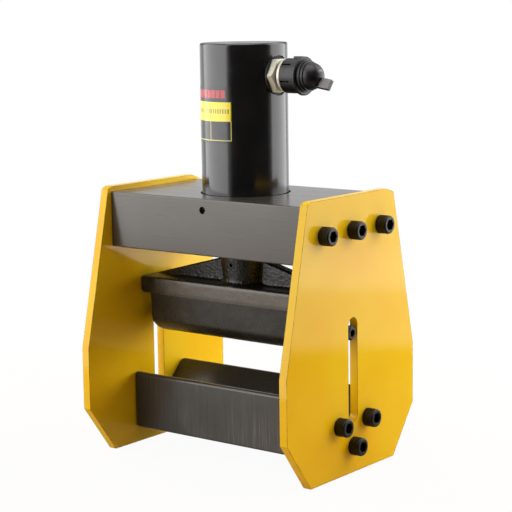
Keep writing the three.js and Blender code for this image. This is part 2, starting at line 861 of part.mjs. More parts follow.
// The bending bar: sides with casting draft and a nose that is one shallow arc
function bendingBar() {
  const section = new THREE.Shape();
  const overlap = flangeThickness / 2;
  const arcHalfAngle = Math.asin(noseHalfDepth / noseRadius);
  const low = -Math.PI / 2;
  section.moveTo(bodyHalfDepth, flangeLow + overlap);
  section.lineTo(-bodyHalfDepth, flangeLow + overlap);
  section.lineTo(-bodyHalfDepth, flangeLow);
  section.absarc(0, noseLow + noseRadius, noseRadius, low - arcHalfAngle, low + arcHalfAngle);
  section.lineTo(bodyHalfDepth, flangeLow);
  section.closePath();
  const length = 2 * bodyHalfLength;
  const bent = new THREE.ExtrudeGeometry(section, {
    depth: length - 2 * punchEndRound,
    bevelThickness: punchEndRound,
    bevelSize: punchEndRound,
    bevelOffset: -punchEndRound,
    bevelSegments: 2,
    curveSegments: noseSteps,
  });
  return solid(bent.translate(0, 0, punchEndRound - length / 2).applyMatrix4(drawnFromSide));
}

// Two webs in one upright plate, falling from the boss to the ends of the flange
function webs() {
  const foot = flangeTop - flangeThickness / 2;
  const end = flangeHalfLength - flangeEdgeRound;
  const outline = new THREE.Shape([
    [-end, foot],
    [end, foot],
    [end, flangeTop],
    [bossRadius, flangeTop + webBossHeight],
    [-bossRadius, flangeTop + webBossHeight],
    [-end, flangeTop],
  ].map(([x, z]) => new THREE.Vector2(x, z)));
  const upright = extruded(outline, webThickness, webEdgeRound);
  return solid(upright.translate(0, 0, -webThickness / 2).applyMatrix4(drawnFromFront));
}

function boss() {
  const foot = flangeTop - flangeEdgeRound;
  const flare = bossSetback - faceGap;
  return solid(turned([
    [0, foot],
    [bossRadius + flare, foot],
    [bossRadius + flare, flangeTop],
    [bossRadius + flare * bossFlareWidthShare, flangeTop + flare * bossFlareHeightShare],
    [bossRadius, flangeTop + 2 * flare],
    [bossRadius, bossTop - bossTopChamfer],
    [bossRadius - bossTopChamfer, bossTop],
    [0, bossTop],
  ], bossRound));
}

const rodSocketRadius = rodSpigotRadius + turnedGap;
const guideThreadRadius = guideThreadDiameter / 2;
const punchSetScrewRadius = punchSetScrewDiameter / 2;

function upperPunch() {
  const casting = join(flangePlate(), bendingBar(), webs(), boss());
  const rodSocket = solid(turned(bar(rodSocketRadius, rodSocketZ, bossTop + cutOverrun), boreRound));
  const setScrewHole = drillAlong(
    punchSetScrewRadius + turnedGap,
    -bossRadius - cutOverrun, -rodSocketRadius + cutOverrun / 2, 0, punchSetScrewZ,
  );
  const holeRadius = guideThreadRadius + turnedGap;
  const holeEnd = bodyHalfLength - guideThreadLength - tappedHoleSpare;
  const holeMouth = bodyHalfLength + cutOverrun;
  return cut(
    casting, rodSocket, setScrewHole,
    drillAcross(holeRadius, holeEnd, holeMouth, 0, guideZ),
    drillAcross(holeRadius, -holeMouth, -holeEnd, 0, guideZ),
  );
}

addPiece(ram, 'upper_punch', upperPunch(), 'castIron');

const punchSetScrewPiece = setScrew(
  punchSetScrewRadius, -bossRadius + punchSetScrewSunk, -rodSpigotRadius + punchSetScrewDogLength - turnedGap,
  punchSetScrewSocket, punchSetScrewDogLength, punchSetScrewRadius * punchSetScrewDogShare,
);
addPiece(ram, 'punch_set_screw', punchSetScrewPiece, 'blackOxide').position.z = punchSetScrewZ;

// Guide screws: a shoulder that runs in the plate's slot, threaded into the punch's end

function guideScrew() {
  const radius = guideShoulderDiameter / 2;
  const seat = bodyHalfLength + faceGap;
  const face = halfRoom + plateThickness - guideShoulderRecess;
  const tip = seat - guideThreadLength;
  const body = solid(turnedAcross([
    [0, tip],
    [guideThreadRadius, tip],
    [guideThreadRadius, seat],
    [radius, seat],
    [radius, face - guideShoulderChamfer],
    [radius - guideShoulderChamfer, face],
    [0, face],
  ], screwRound));
  return cut(body, solid(hexPrism(guideSocketAcrossFlats, face - guideSocketDepth, face + cutOverrun)));
}

const guideScrewPiece = guideScrew();
addPiece(ram, 'guide_screw_right', guideScrewPiece, 'blackOxide').position.z = guideZ;
const leftGuideScrew = addPiece(ram, 'guide_screw_left', guideScrewPiece, 'blackOxide');
leftGuideScrew.rotation.z = Math.PI;
leftGuideScrew.position.z = guideZ;

// Coupler, drawn about the X axis and raised to the port

coupler.position.z = portZ;
const portRadius = portDiameter / 2;

const sealWasher = solid(turnedAcross([
  [portRadius + turnedGap, spotFaceX + faceGap],
  [sealWasherDiameter / 2, spotFaceX + faceGap],
  [sealWasherDiameter / 2, spotFaceX + faceGap + sealWasherThickness],
  [portRadius + turnedGap, spotFaceX + faceGap + sealWasherThickness],
  [portRadius + turnedGap, spotFaceX + faceGap],
], couplerRound));
addPiece(coupler, 'port_seal_washer', sealWasher, 'rubber');

// The nipple: a shank for the port, a hexagon chamfered in front and a spigot for the barrel
function nipple() {
  const hexFront = hexX + nippleHexLength;
  const shankTip = hexX - sealWasherThickness - nippleShankLength;
  const cornerRadius = nippleHexAcrossFlats / 2 * hexCornerRatio;
  const chamferRun = nippleHexChamfer / Math.tan(Math.PI / 6);
  const spigotRadius = nippleSpigotDiameter / 2;
  const boreR = nippleBoreDiameter / 2;
  const chamferCone = solid(turnedAcross([
    [0, hexX],
    [cornerRadius, hexX],
    [cornerRadius, hexFront - nippleHexChamfer],
    [cornerRadius - chamferRun, hexFront],
    [0, hexFront],
  ], couplerRound));
  const hexagon = solid(hexPrism(nippleHexAcrossFlats, hexX, hexFront)).intersect(chamferCone);
  const core = solid(turnedAcross([
    [0, shankTip],
    [portRadius - threadTipChamfer, shankTip],
    [portRadius, shankTip + threadTipChamfer],
    [portRadius, hexX + nippleHexChamfer],
    [spigotRadius, hexX + nippleHexChamfer],
    [spigotRadius, nippleTipX],
    [0, nippleTipX],
  ], couplerRound));
  const bore = drillAcross(boreR, shankTip - cutOverrun, nippleTipX + cutOverrun, 0, 0, smallRound);
  return cut(join(hexagon, core), bore);
}

addPiece(coupler, 'coupler_nipple', nipple(), 'plating');

// The barrel: a collar, the part the hose half screws over, and the valve's seat at its mouth
const valveSeatX = barrelTipX - valveSeatLand;
const chamberRadius = valveChamberDiameter / 2;
const seatRadius = valveSeatDiameter / 2;

function barrel() {
  const collarR = collarDiameter / 2;
  const barrelR = barrelDiameter / 2;
  const socketR = nippleSpigotDiameter / 2 + turnedGap;
  const collarEnd = collarX + collarWidth;
  const coneStart = valveSeatX - (chamberRadius - seatRadius);
  return solid(turnedAcross([
    [socketR, collarX],
    [collarR - collarChamfer, collarX],
    [collarR, collarX + collarChamfer],
    [collarR, collarEnd - collarChamfer],
    [collarR - collarChamfer, collarEnd],
    [barrelR, collarEnd],
    [barrelR, barrelTipX - barrelTipChamfer],
    [barrelR - barrelTipChamfer, barrelTipX],
    [seatRadius, barrelTipX],
    [seatRadius, valveSeatX],
    [chamberRadius, coneStart],
    [chamberRadius, nippleTipX + faceGap],
    [socketR, nippleTipX + faceGap],
    [socketR, collarX],
  ], couplerRound));
}

addPiece(coupler, 'coupler_barrel', barrel(), 'plating');

// The valve poppet: a cone that seals behind the mouth, and a nose that the other half pushes in
const poppetConeEnd = valveSeatX - (chamberRadius - seatRadius) + poppetConeLength;
const poppetBackX = poppetConeEnd - poppetConeLength - poppetHeadLength;

function poppet() {
  const headRadius = chamberRadius - 2 * turnedGap;
  const coneStart = poppetConeEnd - poppetConeLength;
  const poppetNoseRadius = headRadius - poppetConeLength;
  return solid(turnedAcross([
    [0, poppetBackX],
    [headRadius, poppetBackX],
    [headRadius, coneStart],
    [poppetNoseRadius, poppetConeEnd],
    [seatRadius - 2 * turnedGap, poppetConeEnd],
    [seatRadius - 2 * turnedGap, barrelTipX - threadTipChamfer],
    [0, barrelTipX - threadTipChamfer],
  ], couplerRound));
}

addPiece(coupler, 'coupler_poppet', poppet(), 'plating');

const valveSpringRoom = poppetBackX - nippleTipX - 2 * turnedGap - valveWire;
const valveSpringLine = new SpringLine(
  (nippleBoreDiameter / 2 + chamberRadius) / 2, valveSpringRoom, valveTurns, valveSpringRoom / valveTurns,
);
const valveSpring = springTube(valveSpringLine, valveWire).rotateY(Math.PI / 2);
addPiece(
  coupler, 'coupler_valve_spring', solid(valveSpring.translate(nippleTipX + turnedGap + valveWire / 2, 0, 0)),
  'springSteel',
);
console.log(`valve spring: least gap to itself ${leastGap(valveSpringLine, valveWire).toFixed(2)} mm`);

// Dust cap: a slit skirt over the barrel, a flange, two steps, a dome and a pull tab

function dustCap() {
  const skirtR = skirtDiameter / 2;
  const boreR = barrelDiameter / 2 + turnedGap;
  const flangeR = capFlangeDiameter / 2;
  const domeR = capDomeDiameter / 2;
  const innerEnd = barrelTipX + 2 * turnedGap;
  const flangeEnd = skirtTipX + capFlangeThickness;
  const stepEnd = flangeEnd + capStepLength;
  const dome = [];
  for (let i = 0; i <= cornerSteps * 2; i += 1) {
    const angle = (Math.PI / 2) * (i / (cornerSteps * 2));
    dome.push([domeR * Math.cos(angle), domeX + domeR * Math.sin(angle)]);
  }
  dome[dome.length - 1][0] = 0;
  const shell = solid(turnedAcross([
    [boreR, skirtX],
    [skirtR, skirtX],
    [skirtR, skirtTipX],
    [flangeR - capFlangeRound, skirtTipX],
    [flangeR, skirtTipX + capFlangeRound],
    [flangeR, flangeEnd - capFlangeRound],
    [flangeR - capFlangeRound, flangeEnd],
    [capStepDiameter / 2, flangeEnd],
    [capStepDiameter / 2, stepEnd],
    [capSecondStepDiameter / 2, stepEnd],
    [capSecondStepDiameter / 2, domeX],
    ...dome,
    [0, innerEnd + capRoof],
    [boreR - capRoof, innerEnd + capRoof],
    [boreR, innerEnd],
    [boreR, skirtX],
  ], capRound));
  const slits = [];
  for (let i = 0; i < skirtSlitCount; i += 1) {
    const turn = THREE.MathUtils.degToRad(skirtSlitTurn) + (2 * Math.PI * i) / skirtSlitCount;
    const slitLength = skirtSlitLength + cutOverrun;
    const slit = new THREE.BoxGeometry(slitLength, skirtR, skirtSlitWidth);
    slits.push(solid(
      slit.translate(skirtX - cutOverrun + slitLength / 2, -skirtR, 0).rotateX(-turn),
    ));
  }
  const lug = new THREE.BoxGeometry(lugLength, lugWidth, flangeR - skirtR + lugThickness)
    .translate(skirtTipX - lugLength / 2 + capFlangeRound, 0, (flangeR + skirtR - lugThickness) / 2);
  return join(cut(shell, ...slits), solid(lug), pullTab());
}

// The pull tab: a flat tongue at the end of the dome, leaning back and drooping a little
function pullTab() {
  const domeR = capDomeDiameter / 2;
  const half = tabWidth / 2;
  const tongue = roundedOutline([
    [-tabRootDepth, -half, 0],
    [tabLength - tabRootDepth, -half, tabCornerRound],
    [tabLength - tabRootDepth, half, tabCornerRound],
    [-tabRootDepth, half, 0],
  ]);
  const sheet = new THREE.ExtrudeGeometry(tongue, {
    depth: tabThickness, bevelEnabled: false, curveSegments: cornerSteps,
  });
  sheet.translate(0, 0, -tabThickness / 2).applyMatrix4(drawnFromFront);
  sheet.rotateX(-THREE.MathUtils.degToRad(tabLean)).rotateY(THREE.MathUtils.degToRad(tabDroop));
  return solid(sheet.translate(domeX + domeR - tabRootDepth / 2, 0, -tabDrop));
}

addPiece(coupler, 'dust_cap', dustCap(), 'blackPlastic');

export default part;
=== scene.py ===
# %% [markdown]
# A hydraulic busbar bender, modelled piece by piece.
# A busbar is a flat copper bar that carries heavy current. This tool bends it: a cylinder pushes
# a round-nosed punch down into a grooved die, between two thick yellow plates.
# The engineering model already holds every piece at its real size. Here each piece that shows
# gets its fine shape and its finish, and stays exactly where the engineering model says.

# %% Load the engineering model
import json
import math

import bmesh
import bpy
from mathutils import Matrix, Vector


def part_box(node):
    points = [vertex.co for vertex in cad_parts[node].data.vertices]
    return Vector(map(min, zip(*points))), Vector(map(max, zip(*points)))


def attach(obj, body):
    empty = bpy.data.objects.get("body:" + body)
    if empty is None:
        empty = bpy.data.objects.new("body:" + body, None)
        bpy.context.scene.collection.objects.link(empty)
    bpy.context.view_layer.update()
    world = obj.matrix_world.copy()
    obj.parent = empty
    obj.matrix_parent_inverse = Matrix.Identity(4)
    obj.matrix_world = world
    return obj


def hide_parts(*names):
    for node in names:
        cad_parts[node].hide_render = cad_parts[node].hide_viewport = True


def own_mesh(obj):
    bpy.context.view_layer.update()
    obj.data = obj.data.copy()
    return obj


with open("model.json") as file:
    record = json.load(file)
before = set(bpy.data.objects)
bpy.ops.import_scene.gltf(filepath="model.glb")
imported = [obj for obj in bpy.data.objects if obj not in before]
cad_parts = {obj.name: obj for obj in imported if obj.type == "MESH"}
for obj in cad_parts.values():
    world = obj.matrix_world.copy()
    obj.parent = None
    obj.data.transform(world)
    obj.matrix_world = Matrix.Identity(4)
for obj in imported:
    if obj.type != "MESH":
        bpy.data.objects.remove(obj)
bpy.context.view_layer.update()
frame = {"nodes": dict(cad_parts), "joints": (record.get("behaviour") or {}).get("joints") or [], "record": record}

MM = 0.001

# %% [markdown]
# The camera comes first, because every later picture is judged through it. A short lens close by
# would spread the plates apart. A lens of 116 mm from a metre and a half away flattens the
# perspective, as a product photograph does. Its direction is written as two angles and a small
# roll, which are easier to read than a matrix.

# %% The camera
CAMERA_PLACE = Vector((0.92818, -1.17967, 0.42455))
CAMERA_AZIMUTH = math.radians(37.87)
CAMERA_ELEVATION = math.radians(9.04)
CAMERA_ROLL = math.radians(-0.83)
CAMERA_LENS = 115.96


def add_camera():
    """Points a camera along its two angles, then rolls it about the line of sight."""
    ahead = Vector((
        -math.sin(CAMERA_AZIMUTH) * math.cos(CAMERA_ELEVATION),
        math.cos(CAMERA_AZIMUTH) * math.cos(CAMERA_ELEVATION),
        -math.sin(CAMERA_ELEVATION),
    ))
    turn = ahead.to_track_quat("-Z", "Y").to_matrix() @ Matrix.Rotation(CAMERA_ROLL, 3, "Z")
    bpy.ops.object.camera_add(location=CAMERA_PLACE, rotation=turn.to_euler())
    camera = bpy.context.object
    camera.data.lens = CAMERA_LENS
    camera.data.clip_end = 50
    bpy.context.scene.camera = camera
    return camera


camera = add_camera()
print(f"camera {camera.location.length:.2f} m from the origin")

# %% [markdown]
# Glossy paint shows the room more than itself, so the studio is built as a photographer would:
# a large softbox in front on the left, two behind on the right, a softer light from above.
# Sunlight or a bare lamp would give hard shadows and small sharp glints. A softbox is an area
# light: the bigger it is, the softer its shadow. The camera can't see these, but gloss can,
# apart from the two that only fill in the shade.

# %% Softboxes
SOFTBOXES = {
    # name: azimuth (degrees from the front towards +X), height, distance, width, tall, power, aim height
    "left_softbox": (-48, 0.62, 1.25, 2.4, 1.5, 31, 0.19),
    "rear_softbox": (148, 0.82, 0.98, 1.4, 1.64, 16, 0.82),
    "rear_fill": (148, 0.82, 0.97, 1.4, 1.64, 10, 0.82),
    "top_softbox": (20, 1.9, 0.35, 1.5, 1.5, 16, 0.19),
    "back_fill": (178, 0.32, 0.62, 0.5, 0.5, 4.5, 0.15),
}
ONLY_FILLS = ("rear_fill", "back_fill")


def around(azimuth, distance, height):
    """A place round the object: azimuth 0 is in front of it, 90 degrees is at +X."""
    return Vector((math.sin(azimuth) * distance, -math.cos(azimuth) * distance, height))


def add_softbox(name, azimuth, height, distance, width, tall, power, aim_height):
    place = around(math.radians(azimuth), distance, height)
    turn = (Vector((0, 0, aim_height)) - place).to_track_quat("-Z", "Y")
    bpy.ops.object.light_add(type="AREA", location=place, rotation=turn.to_euler())
    lamp = bpy.context.object
    lamp.name = name
    lamp.data.shape = "RECTANGLE"
    lamp.data.size, lamp.data.size_y = width, tall
    lamp.data.energy = power
    lamp.visible_camera = False
    lamp.visible_glossy = name not in ONLY_FILLS


for name, setting in SOFTBOXES.items():
    add_softbox(name, *setting)
print(f"{len(SOFTBOXES)} softboxes, {sum(setting[5] for setting in SOFTBOXES.values()):.0f} W in all")

# %% [markdown]
# Black paint looks black only where it mirrors something dark. So a dark screen stands on the
# camera's side, out of its view, and a paper backdrop behind the object gives the gloss
# something bright. Both could be flat boards, but a curved one mirrors as an even band in a
# round cylinder. Each is a tube of which only the faces between two azimuths are kept.

# %% Screen and backdrop
SCREEN_RADIUS, SCREEN_HEIGHT = 0.9, 1.3
SCREEN_FROM, SCREEN_TO, SCREEN_FADE = math.radians(-7), math.radians(113), math.radians(11)
BACKDROP_RADIUS, BACKDROP_HEIGHT = 1.1, 1.2
BACKDROP_FROM, BACKDROP_TO = math.radians(168), math.radians(258)
SCREEN_FACES = 72


def add_screen(name, radius, height, start, end):
    """A curved screen that light passes and only gloss and shade can see."""
    bpy.ops.object.select_all(action="DESELECT")
    bpy.ops.mesh.primitive_cylinder_add(
        vertices=SCREEN_FACES, radius=radius, depth=height, end_fill_type="NOTHING",
        location=(0, 0, height / 2),
    )
    screen = bpy.context.object
    screen.name = name
    kept = bmesh.new()
    kept.from_mesh(screen.data)
    away = []
    for face in kept.faces:
        centre = face.calc_center_median()
        azimuth = math.atan2(centre.x, -centre.y) % (2 * math.pi)
        if not start <= azimuth <= end and not start <= azimuth - 2 * math.pi <= end:
            away.append(face)
    bmesh.ops.delete(kept, geom=away, context="FACES")
    kept.to_mesh(screen.data)
    kept.free()
    screen.visible_camera = screen.visible_shadow = False
    return screen


dark_screen = add_screen("dark_screen", SCREEN_RADIUS, SCREEN_HEIGHT, SCREEN_FROM, SCREEN_TO)
backdrop = add_screen("grey_backdrop", BACKDROP_RADIUS, BACKDROP_HEIGHT, BACKDROP_FROM, BACKDROP_TO)
backdrop.visible_diffuse = False
print(f"screen of {len(dark_screen.data.polygons)} faces, backdrop of {len(backdrop.data.polygons)}")

# %% [markdown]
# Materials are built from nodes. They could be wired by hand in the shader editor, but in code a
# finish reads as one recipe. These helpers keep each recipe short: one adds a node and fills its
# sockets, others calculate, remap a range of values, or mix two colours or numbers.

# %% Helpers for nodes
def add_node(tree, kind, inputs=(), **settings):
    """Adds a shader node. inputs are (socket, value or other socket) pairs."""
    made = tree.nodes.new("ShaderNode" + kind)
    for name, value in settings.items():
        setattr(made, name, value)
    for socket, value in inputs:
        if isinstance(value, bpy.types.NodeSocket):
            tree.links.new(value, made.inputs[socket])
        else:
            made.inputs[socket].default_value = value
    return made


def calculate(tree, operation, a, b=0.0, c=0.0):
    return add_node(tree, "Math", [(0, a), (1, b), (2, c)], operation=operation).outputs[0]


def times(tree, a, b):
    return calculate(tree, "MULTIPLY", a, b)


def remap(tree, value, from_low, from_high, to_low=0.0, to_high=1.0):
    """Turns one range of values into another, held at its ends."""
    sockets = enumerate((value, from_low, from_high, to_low, to_high))
    return add_node(tree, "MapRange", sockets).outputs[0]


def between(tree, value, low, high):
    """1 where a value lies between two others."""
    over, under = calculate(tree, "GREATER_THAN", value, low), calculate(tree, "LESS_THAN", value, high)
    return times(tree, over, under)


def mix(tree, share, first, second):
    """Mixes two colours, given as values or as sockets."""
    sockets = [(0, share), (6, first), (7, second)]
    return add_node(tree, "Mix", sockets, data_type="RGBA").outputs[2]


def choice(tree, share, first, second):
    """Blends two numbers, given as values or as sockets."""
    return add_node(tree, "Mix", [(0, share), (2, first), (3, second)], data_type="FLOAT").outputs[0]


def grey(value, warmth=0.0):
    """A colour from a brightness, with a little more red and less blue for warmth."""
    return (value * (1 + warmth), value, value * (1 - warmth), 1)


print("a warm grey:", [round(share, 3) for share in grey(0.2, 0.1)])

# %% [markdown]
# Patterns need to know where they are. Image textures would need unwrapping and would blur close
# up. Noise on Object coordinates needs neither, and since those are in metres, a grain's size
# here is a real size. Two more helpers ask how far along an axis a point lies, and which way its
# surface faces. Relief turns a height into bumps, and the edge mask finds corners, where steel is
# rubbed bare and where the yellow paint gets painted shade.

# %% Helpers for patterns
def object_place(tree):
    return add_node(tree, "TexCoord").outputs["Object"]


def place_along(tree, axis):
    """How far along X, Y or Z a point lies, in metres."""
    return add_node(tree, "SeparateXYZ", [(0, object_place(tree))]).outputs[axis]


def facing_along(tree, axis):
    """How much the surface faces along X, Y or Z, from -1 to 1."""
    normal = add_node(tree, "NewGeometry").outputs["Normal"]
    return add_node(tree, "SeparateXYZ", [(0, normal)]).outputs[axis]


def azimuth_round(tree):
    """The angle round the Z axis: 0 in front, 90 degrees at +X."""
    return calculate(tree, "ARCTAN2", place_along(tree, "X"), times(tree, place_along(tree, "Y"), -1.0))


def grain(tree, size, stretch=(1, 1, 1), detail=3.0):
    """Noise with blotches about size metres across. A stretch over 1 makes them longer that way."""
    shares = tuple(1 / way for way in stretch)
    place = add_node(tree, "Mapping", [("Vector", object_place(tree)), ("Scale", shares)])
    noise = add_node(tree, "TexNoise", [(0, place.outputs[0]), ("Scale", 1 / size), ("Detail", detail)])
    return noise.outputs["Fac"]


def relief(tree, height, depth, below=None):
    """Turns a height from 0 to 1 into bumps depth metres high, on top of other relief."""
    inputs = [("Height", height), ("Distance", depth), ("Strength", 1.0)]
    if below is not None:
        inputs.append(("Normal", below))
    return add_node(tree, "Bump", inputs).outputs[0]


def edge_share(tree, reach):
    """1 on an edge and 0 on a flat, from how far a rounded edge would turn the surface."""
    rounded = add_node(tree, "Bevel", [("Radius", reach)]).outputs[0]
    true = add_node(tree, "NewGeometry").outputs["Normal"]
    alike = add_node(tree, "VectorMath", [(0, rounded), (1, true)], operation="DOT_PRODUCT")
    return remap(tree, alike.outputs["Value"], 0.99, 0.86)


print("a stretch of (60, 1, 1) makes grain 60 times longer along X")

# %% [markdown]
# Every finish starts and ends alike. What is the same all over a surface, such as how metallic
# it is or how glossy its clear coat, is set on the shader itself. What changes from place to
# place, the colour, the roughness and the relief, is joined to it at the end.

# %% Start and end of a material
def start_material(name, metallic=0.0, ior=1.5, coat=0.0, coat_roughness=0.1):
    """A new material with its uniform values set on the shader itself."""
    material = bpy.data.materials.new(name)
    material.use_nodes = True
    shader = material.node_tree.nodes["Principled BSDF"]
    shader.inputs["Metallic"].default_value = metallic
    shader.inputs["IOR"].default_value = ior
    shader.inputs["Coat Weight"].default_value = coat
    shader.inputs["Coat Roughness"].default_value = coat_roughness
    return material, material.node_tree, shader


def end_material(material, shader, colour, roughness, normal):
    """Joins a colour, a roughness and a relief to the shader, and says how big the recipe is."""
    tree = material.node_tree
    tree.links.new(colour, shader.inputs["Base Color"])
    tree.links.new(roughness, shader.inputs["Roughness"])
    tree.links.new(normal, shader.inputs["Normal"])
    print(f"{material.name}: {len(tree.nodes)} nodes")
    return material


print("helpers for materials are ready")

# %% [markdown]
# The plates are cut from thick steel and sprayed yellow. One flat yellow would look like paper.
# Close up, sprayed enamel has a fine orange-peel skin, and its colour deepens a little where the
# coat is thick. The cut edges keep faint lines across the thickness from the cutting torch. So
# the colour has slow clouds and the relief has two sizes. Rounded corners are darker with
# painted shade: only a rounded edge faces partly sideways, so a mask finds them.

# %% Yellow enamel
YELLOW = (0.78, 0.50, 0.010, 1)
YELLOW_DEEP = (0.76, 0.44, 0.005, 1)
YELLOW_CORNER_SHADE = (0.13, 0.07, 0.004, 1)
CORNER_SHADE_REACH, TORCH_DEPTH, PEEL_DEPTH = 1.2 * MM, 0.2 * MM, 0.03 * MM


def yellow_enamel():
    material, tree, shader = start_material("yellow_enamel", ior=1.05, coat=0.42, coat_roughness=0.09)
    clouds = remap(tree, grain(tree, 75 * MM, detail=2.0), 0.35, 0.65)
    colour = mix(tree, clouds, YELLOW, YELLOW_DEEP)
    sideways = calculate(tree, "ABSOLUTE", facing_along(tree, "X"))
    # Painted shade: rounded corners, which face partly sideways, are painted darker.
    rounded = times(tree, remap(tree, sideways, 0.05, 0.2), remap(tree, sideways, 0.96, 0.995, 1.0, 0.0))
    corner = calculate(tree, "MAXIMUM", rounded, edge_share(tree, CORNER_SHADE_REACH))
    corner_shade = times(tree, corner, remap(tree, grain(tree, 6 * MM), 0.4, 0.6, 0.55, 0.95))
    colour = mix(tree, corner_shade, colour, YELLOW_CORNER_SHADE)
    on_cut_edge = remap(tree, sideways, 0.2, 0.6, 1.0, 0.0)
    torch = times(tree, grain(tree, 1.6 * MM, stretch=(9, 1, 1)), on_cut_edge)
    peel = relief(tree, grain(tree, 2.6 * MM, detail=1.0), PEEL_DEPTH)
    normal = relief(tree, torch, TORCH_DEPTH, below=peel)
    roughness = remap(tree, grain(tree, 30 * MM), 0.3, 0.7, 0.30, 0.40)
    return end_material(material, shader, colour, roughness, normal)


FINISHES = {"yellow_paint": yellow_enamel()}

# %% [markdown]
# The cylinder is gloss black. Nearly all that one sees of it is the studio's reflection, so its
# roughness matters more than its colour. A perfect mirror would look like glass: fingerprints
# and dust make real paint a little duller in patches, and a faint waviness breaks up the
# reflection's straight edges.

# %% Gloss black enamel
def gloss_black():
    material, tree, shader = start_material("gloss_black", ior=1.52, coat=0.2, coat_roughness=0.08)
    dust_and_sheen = remap(tree, grain(tree, 20 * MM, detail=5.0), 0.45, 0.75)
    colour = mix(tree, dust_and_sheen, (0.008, 0.008, 0.0085, 1), (0.016, 0.0155, 0.015, 1))
    roughness = remap(tree, grain(tree, 16 * MM, stretch=(1, 1, 2)), 0.3, 0.7, 0.13, 0.22)
    waves = relief(tree, grain(tree, 4 * MM, detail=1.0), 0.01 * MM)
    return end_material(material, shader, colour, roughness, waves)


FINISHES["black_paint"] = gloss_black()

# %% [markdown]
# Machined and blackened steel is satin. The head block was milled along its length, so its
# faint grain runs along X. The die was ground across its front and rear, so there the grain
# runs upright, and it shows more and paler towards the right. Anisotropic gloss could stand in
# for grain, but it shows no single streaks. One function makes both steels from stretched noise,
# with the grain's stretch and colours as its values. On the edges the blackening is rubbed
# through, which an edge mask broken up by noise gives.

# %% Blackened steel
RUB_REACH = 0.8 * MM
DARK_TO, PALE_FROM = -105 * MM, -35 * MM


def ground_share(tree):
    """1 on a ground front or rear face, fading out to the left."""
    upright = remap(tree, calculate(tree, "ABSOLUTE", facing_along(tree, "Y")), 0.85, 0.95)
    return times(tree, upright, remap(tree, place_along(tree, "X"), DARK_TO, PALE_FROM))


def blackened_steel(name, dark, pale, bare, stretch, streaks, oil, ground=False):
    """Satin steel with a film of oil. streaks is how much the grain shows, from 0 to 1."""
    material, tree, shader = start_material(name, metallic=0.25, ior=1.32, coat=oil, coat_roughness=0.2)
    clouds = remap(tree, grain(tree, 60 * MM), 0.3, 0.7)
    lines = remap(tree, grain(tree, 1.1 * MM, stretch=stretch, detail=4.0), 0.46, 0.72, 0.0, streaks)
    where = remap(tree, grain(tree, 45 * MM, detail=1.0), 0.42, 0.62, 0.15, 1.0)
    if ground:
        share = ground_share(tree)
        where = times(tree, where, share)
        clouds = times(tree, remap(tree, clouds, 0.0, 1.0, 0.5, 1.0), share)
    colour = mix(tree, clouds, dark, pale)
    colour = mix(tree, times(tree, lines, where), colour, bare)
    worn = remap(tree, grain(tree, 5 * MM), 0.42, 0.62, 0.1, 0.75)
    colour = mix(tree, times(tree, edge_share(tree, RUB_REACH), worn), colour, bare)
    roughness = remap(tree, grain(tree, 1.6 * MM, stretch=stretch), 0.3, 0.7, 0.26, 0.36)
    marks = relief(tree, grain(tree, 0.7 * MM, stretch=stretch, detail=2.0), 0.02 * MM)
    normal = relief(tree, grain(tree, 1.2 * MM, detail=2.0), 0.02 * MM, below=marks)
    return end_material(material, shader, colour, roughness, normal)


FINISHES["dark_steel"] = blackened_steel(
    "milled_steel", grey(0.034, 0.22), grey(0.046, 0.22), grey(0.17, 0.1),
    stretch=(60, 1, 1), streaks=0.07, oil=0.72)
GROUND_STEEL = blackened_steel(
    "ground_steel", grey(0.034, 0.1), grey(0.082, 0.06), grey(0.32, 0.03),
    stretch=(1, 1, 45), streaks=0.30, oil=0.3, ground=True)

# %% [markdown]
# The punch is a sand casting with a dark skin. Sand leaves a pebbled surface, rough but with
# small shiny grains that sparkle. One noise would make it even, like leather, so the relief has
# two sizes and the roughness follows the finer one. The flange and the bar were dressed
# afterwards: only above them are the pebbles full size. Above them the skin is painted darker,
# as painted shade under the head block. The flange's front is painted paler, all but its left
# end: partly skin rubbed by handling, partly a painted highlight where the light falls.

# %% Cast skin
FLANGE_UNDERSIDE, FLANGE_TOP = 145.5 * MM, 161.5 * MM
PALE_FRONT_FROM, PALE_FRONT_TO = -80 * MM, -58 * MM
SKIN_DARK, SKIN_PALE = (0.013, 0.0105, 0.0075, 1), (0.031, 0.0265, 0.020, 1)
SKIN_SHADED, SKIN_RUBBED_AND_LIT = (0.006, 0.005, 0.0035, 1), (0.12, 0.105, 0.088, 1)
PEBBLE_SHARE, SAND_DEPTH, SLOW_DEPTH = 7.0, 0.09 * MM, 0.2 * MM


def flange_front_rubbed_and_lit(tree):
    """1 on the flange's front face, painted paler as rubbed skin and as a painted highlight, fading out to the
    left.
    """
    front = remap(tree, facing_along(tree, "Y"), -0.8, -0.95)
    proud = between(tree, place_along(tree, "Z"), FLANGE_UNDERSIDE, FLANGE_TOP)
    ragged = times(tree, grain(tree, 9 * MM), 30 * MM)
    along = calculate(tree, "ADD", place_along(tree, "X"), ragged)
    reach = remap(tree, along, PALE_FRONT_FROM, PALE_FRONT_TO, 0.0, 0.75)
    return times(tree, times(tree, front, proud), reach)


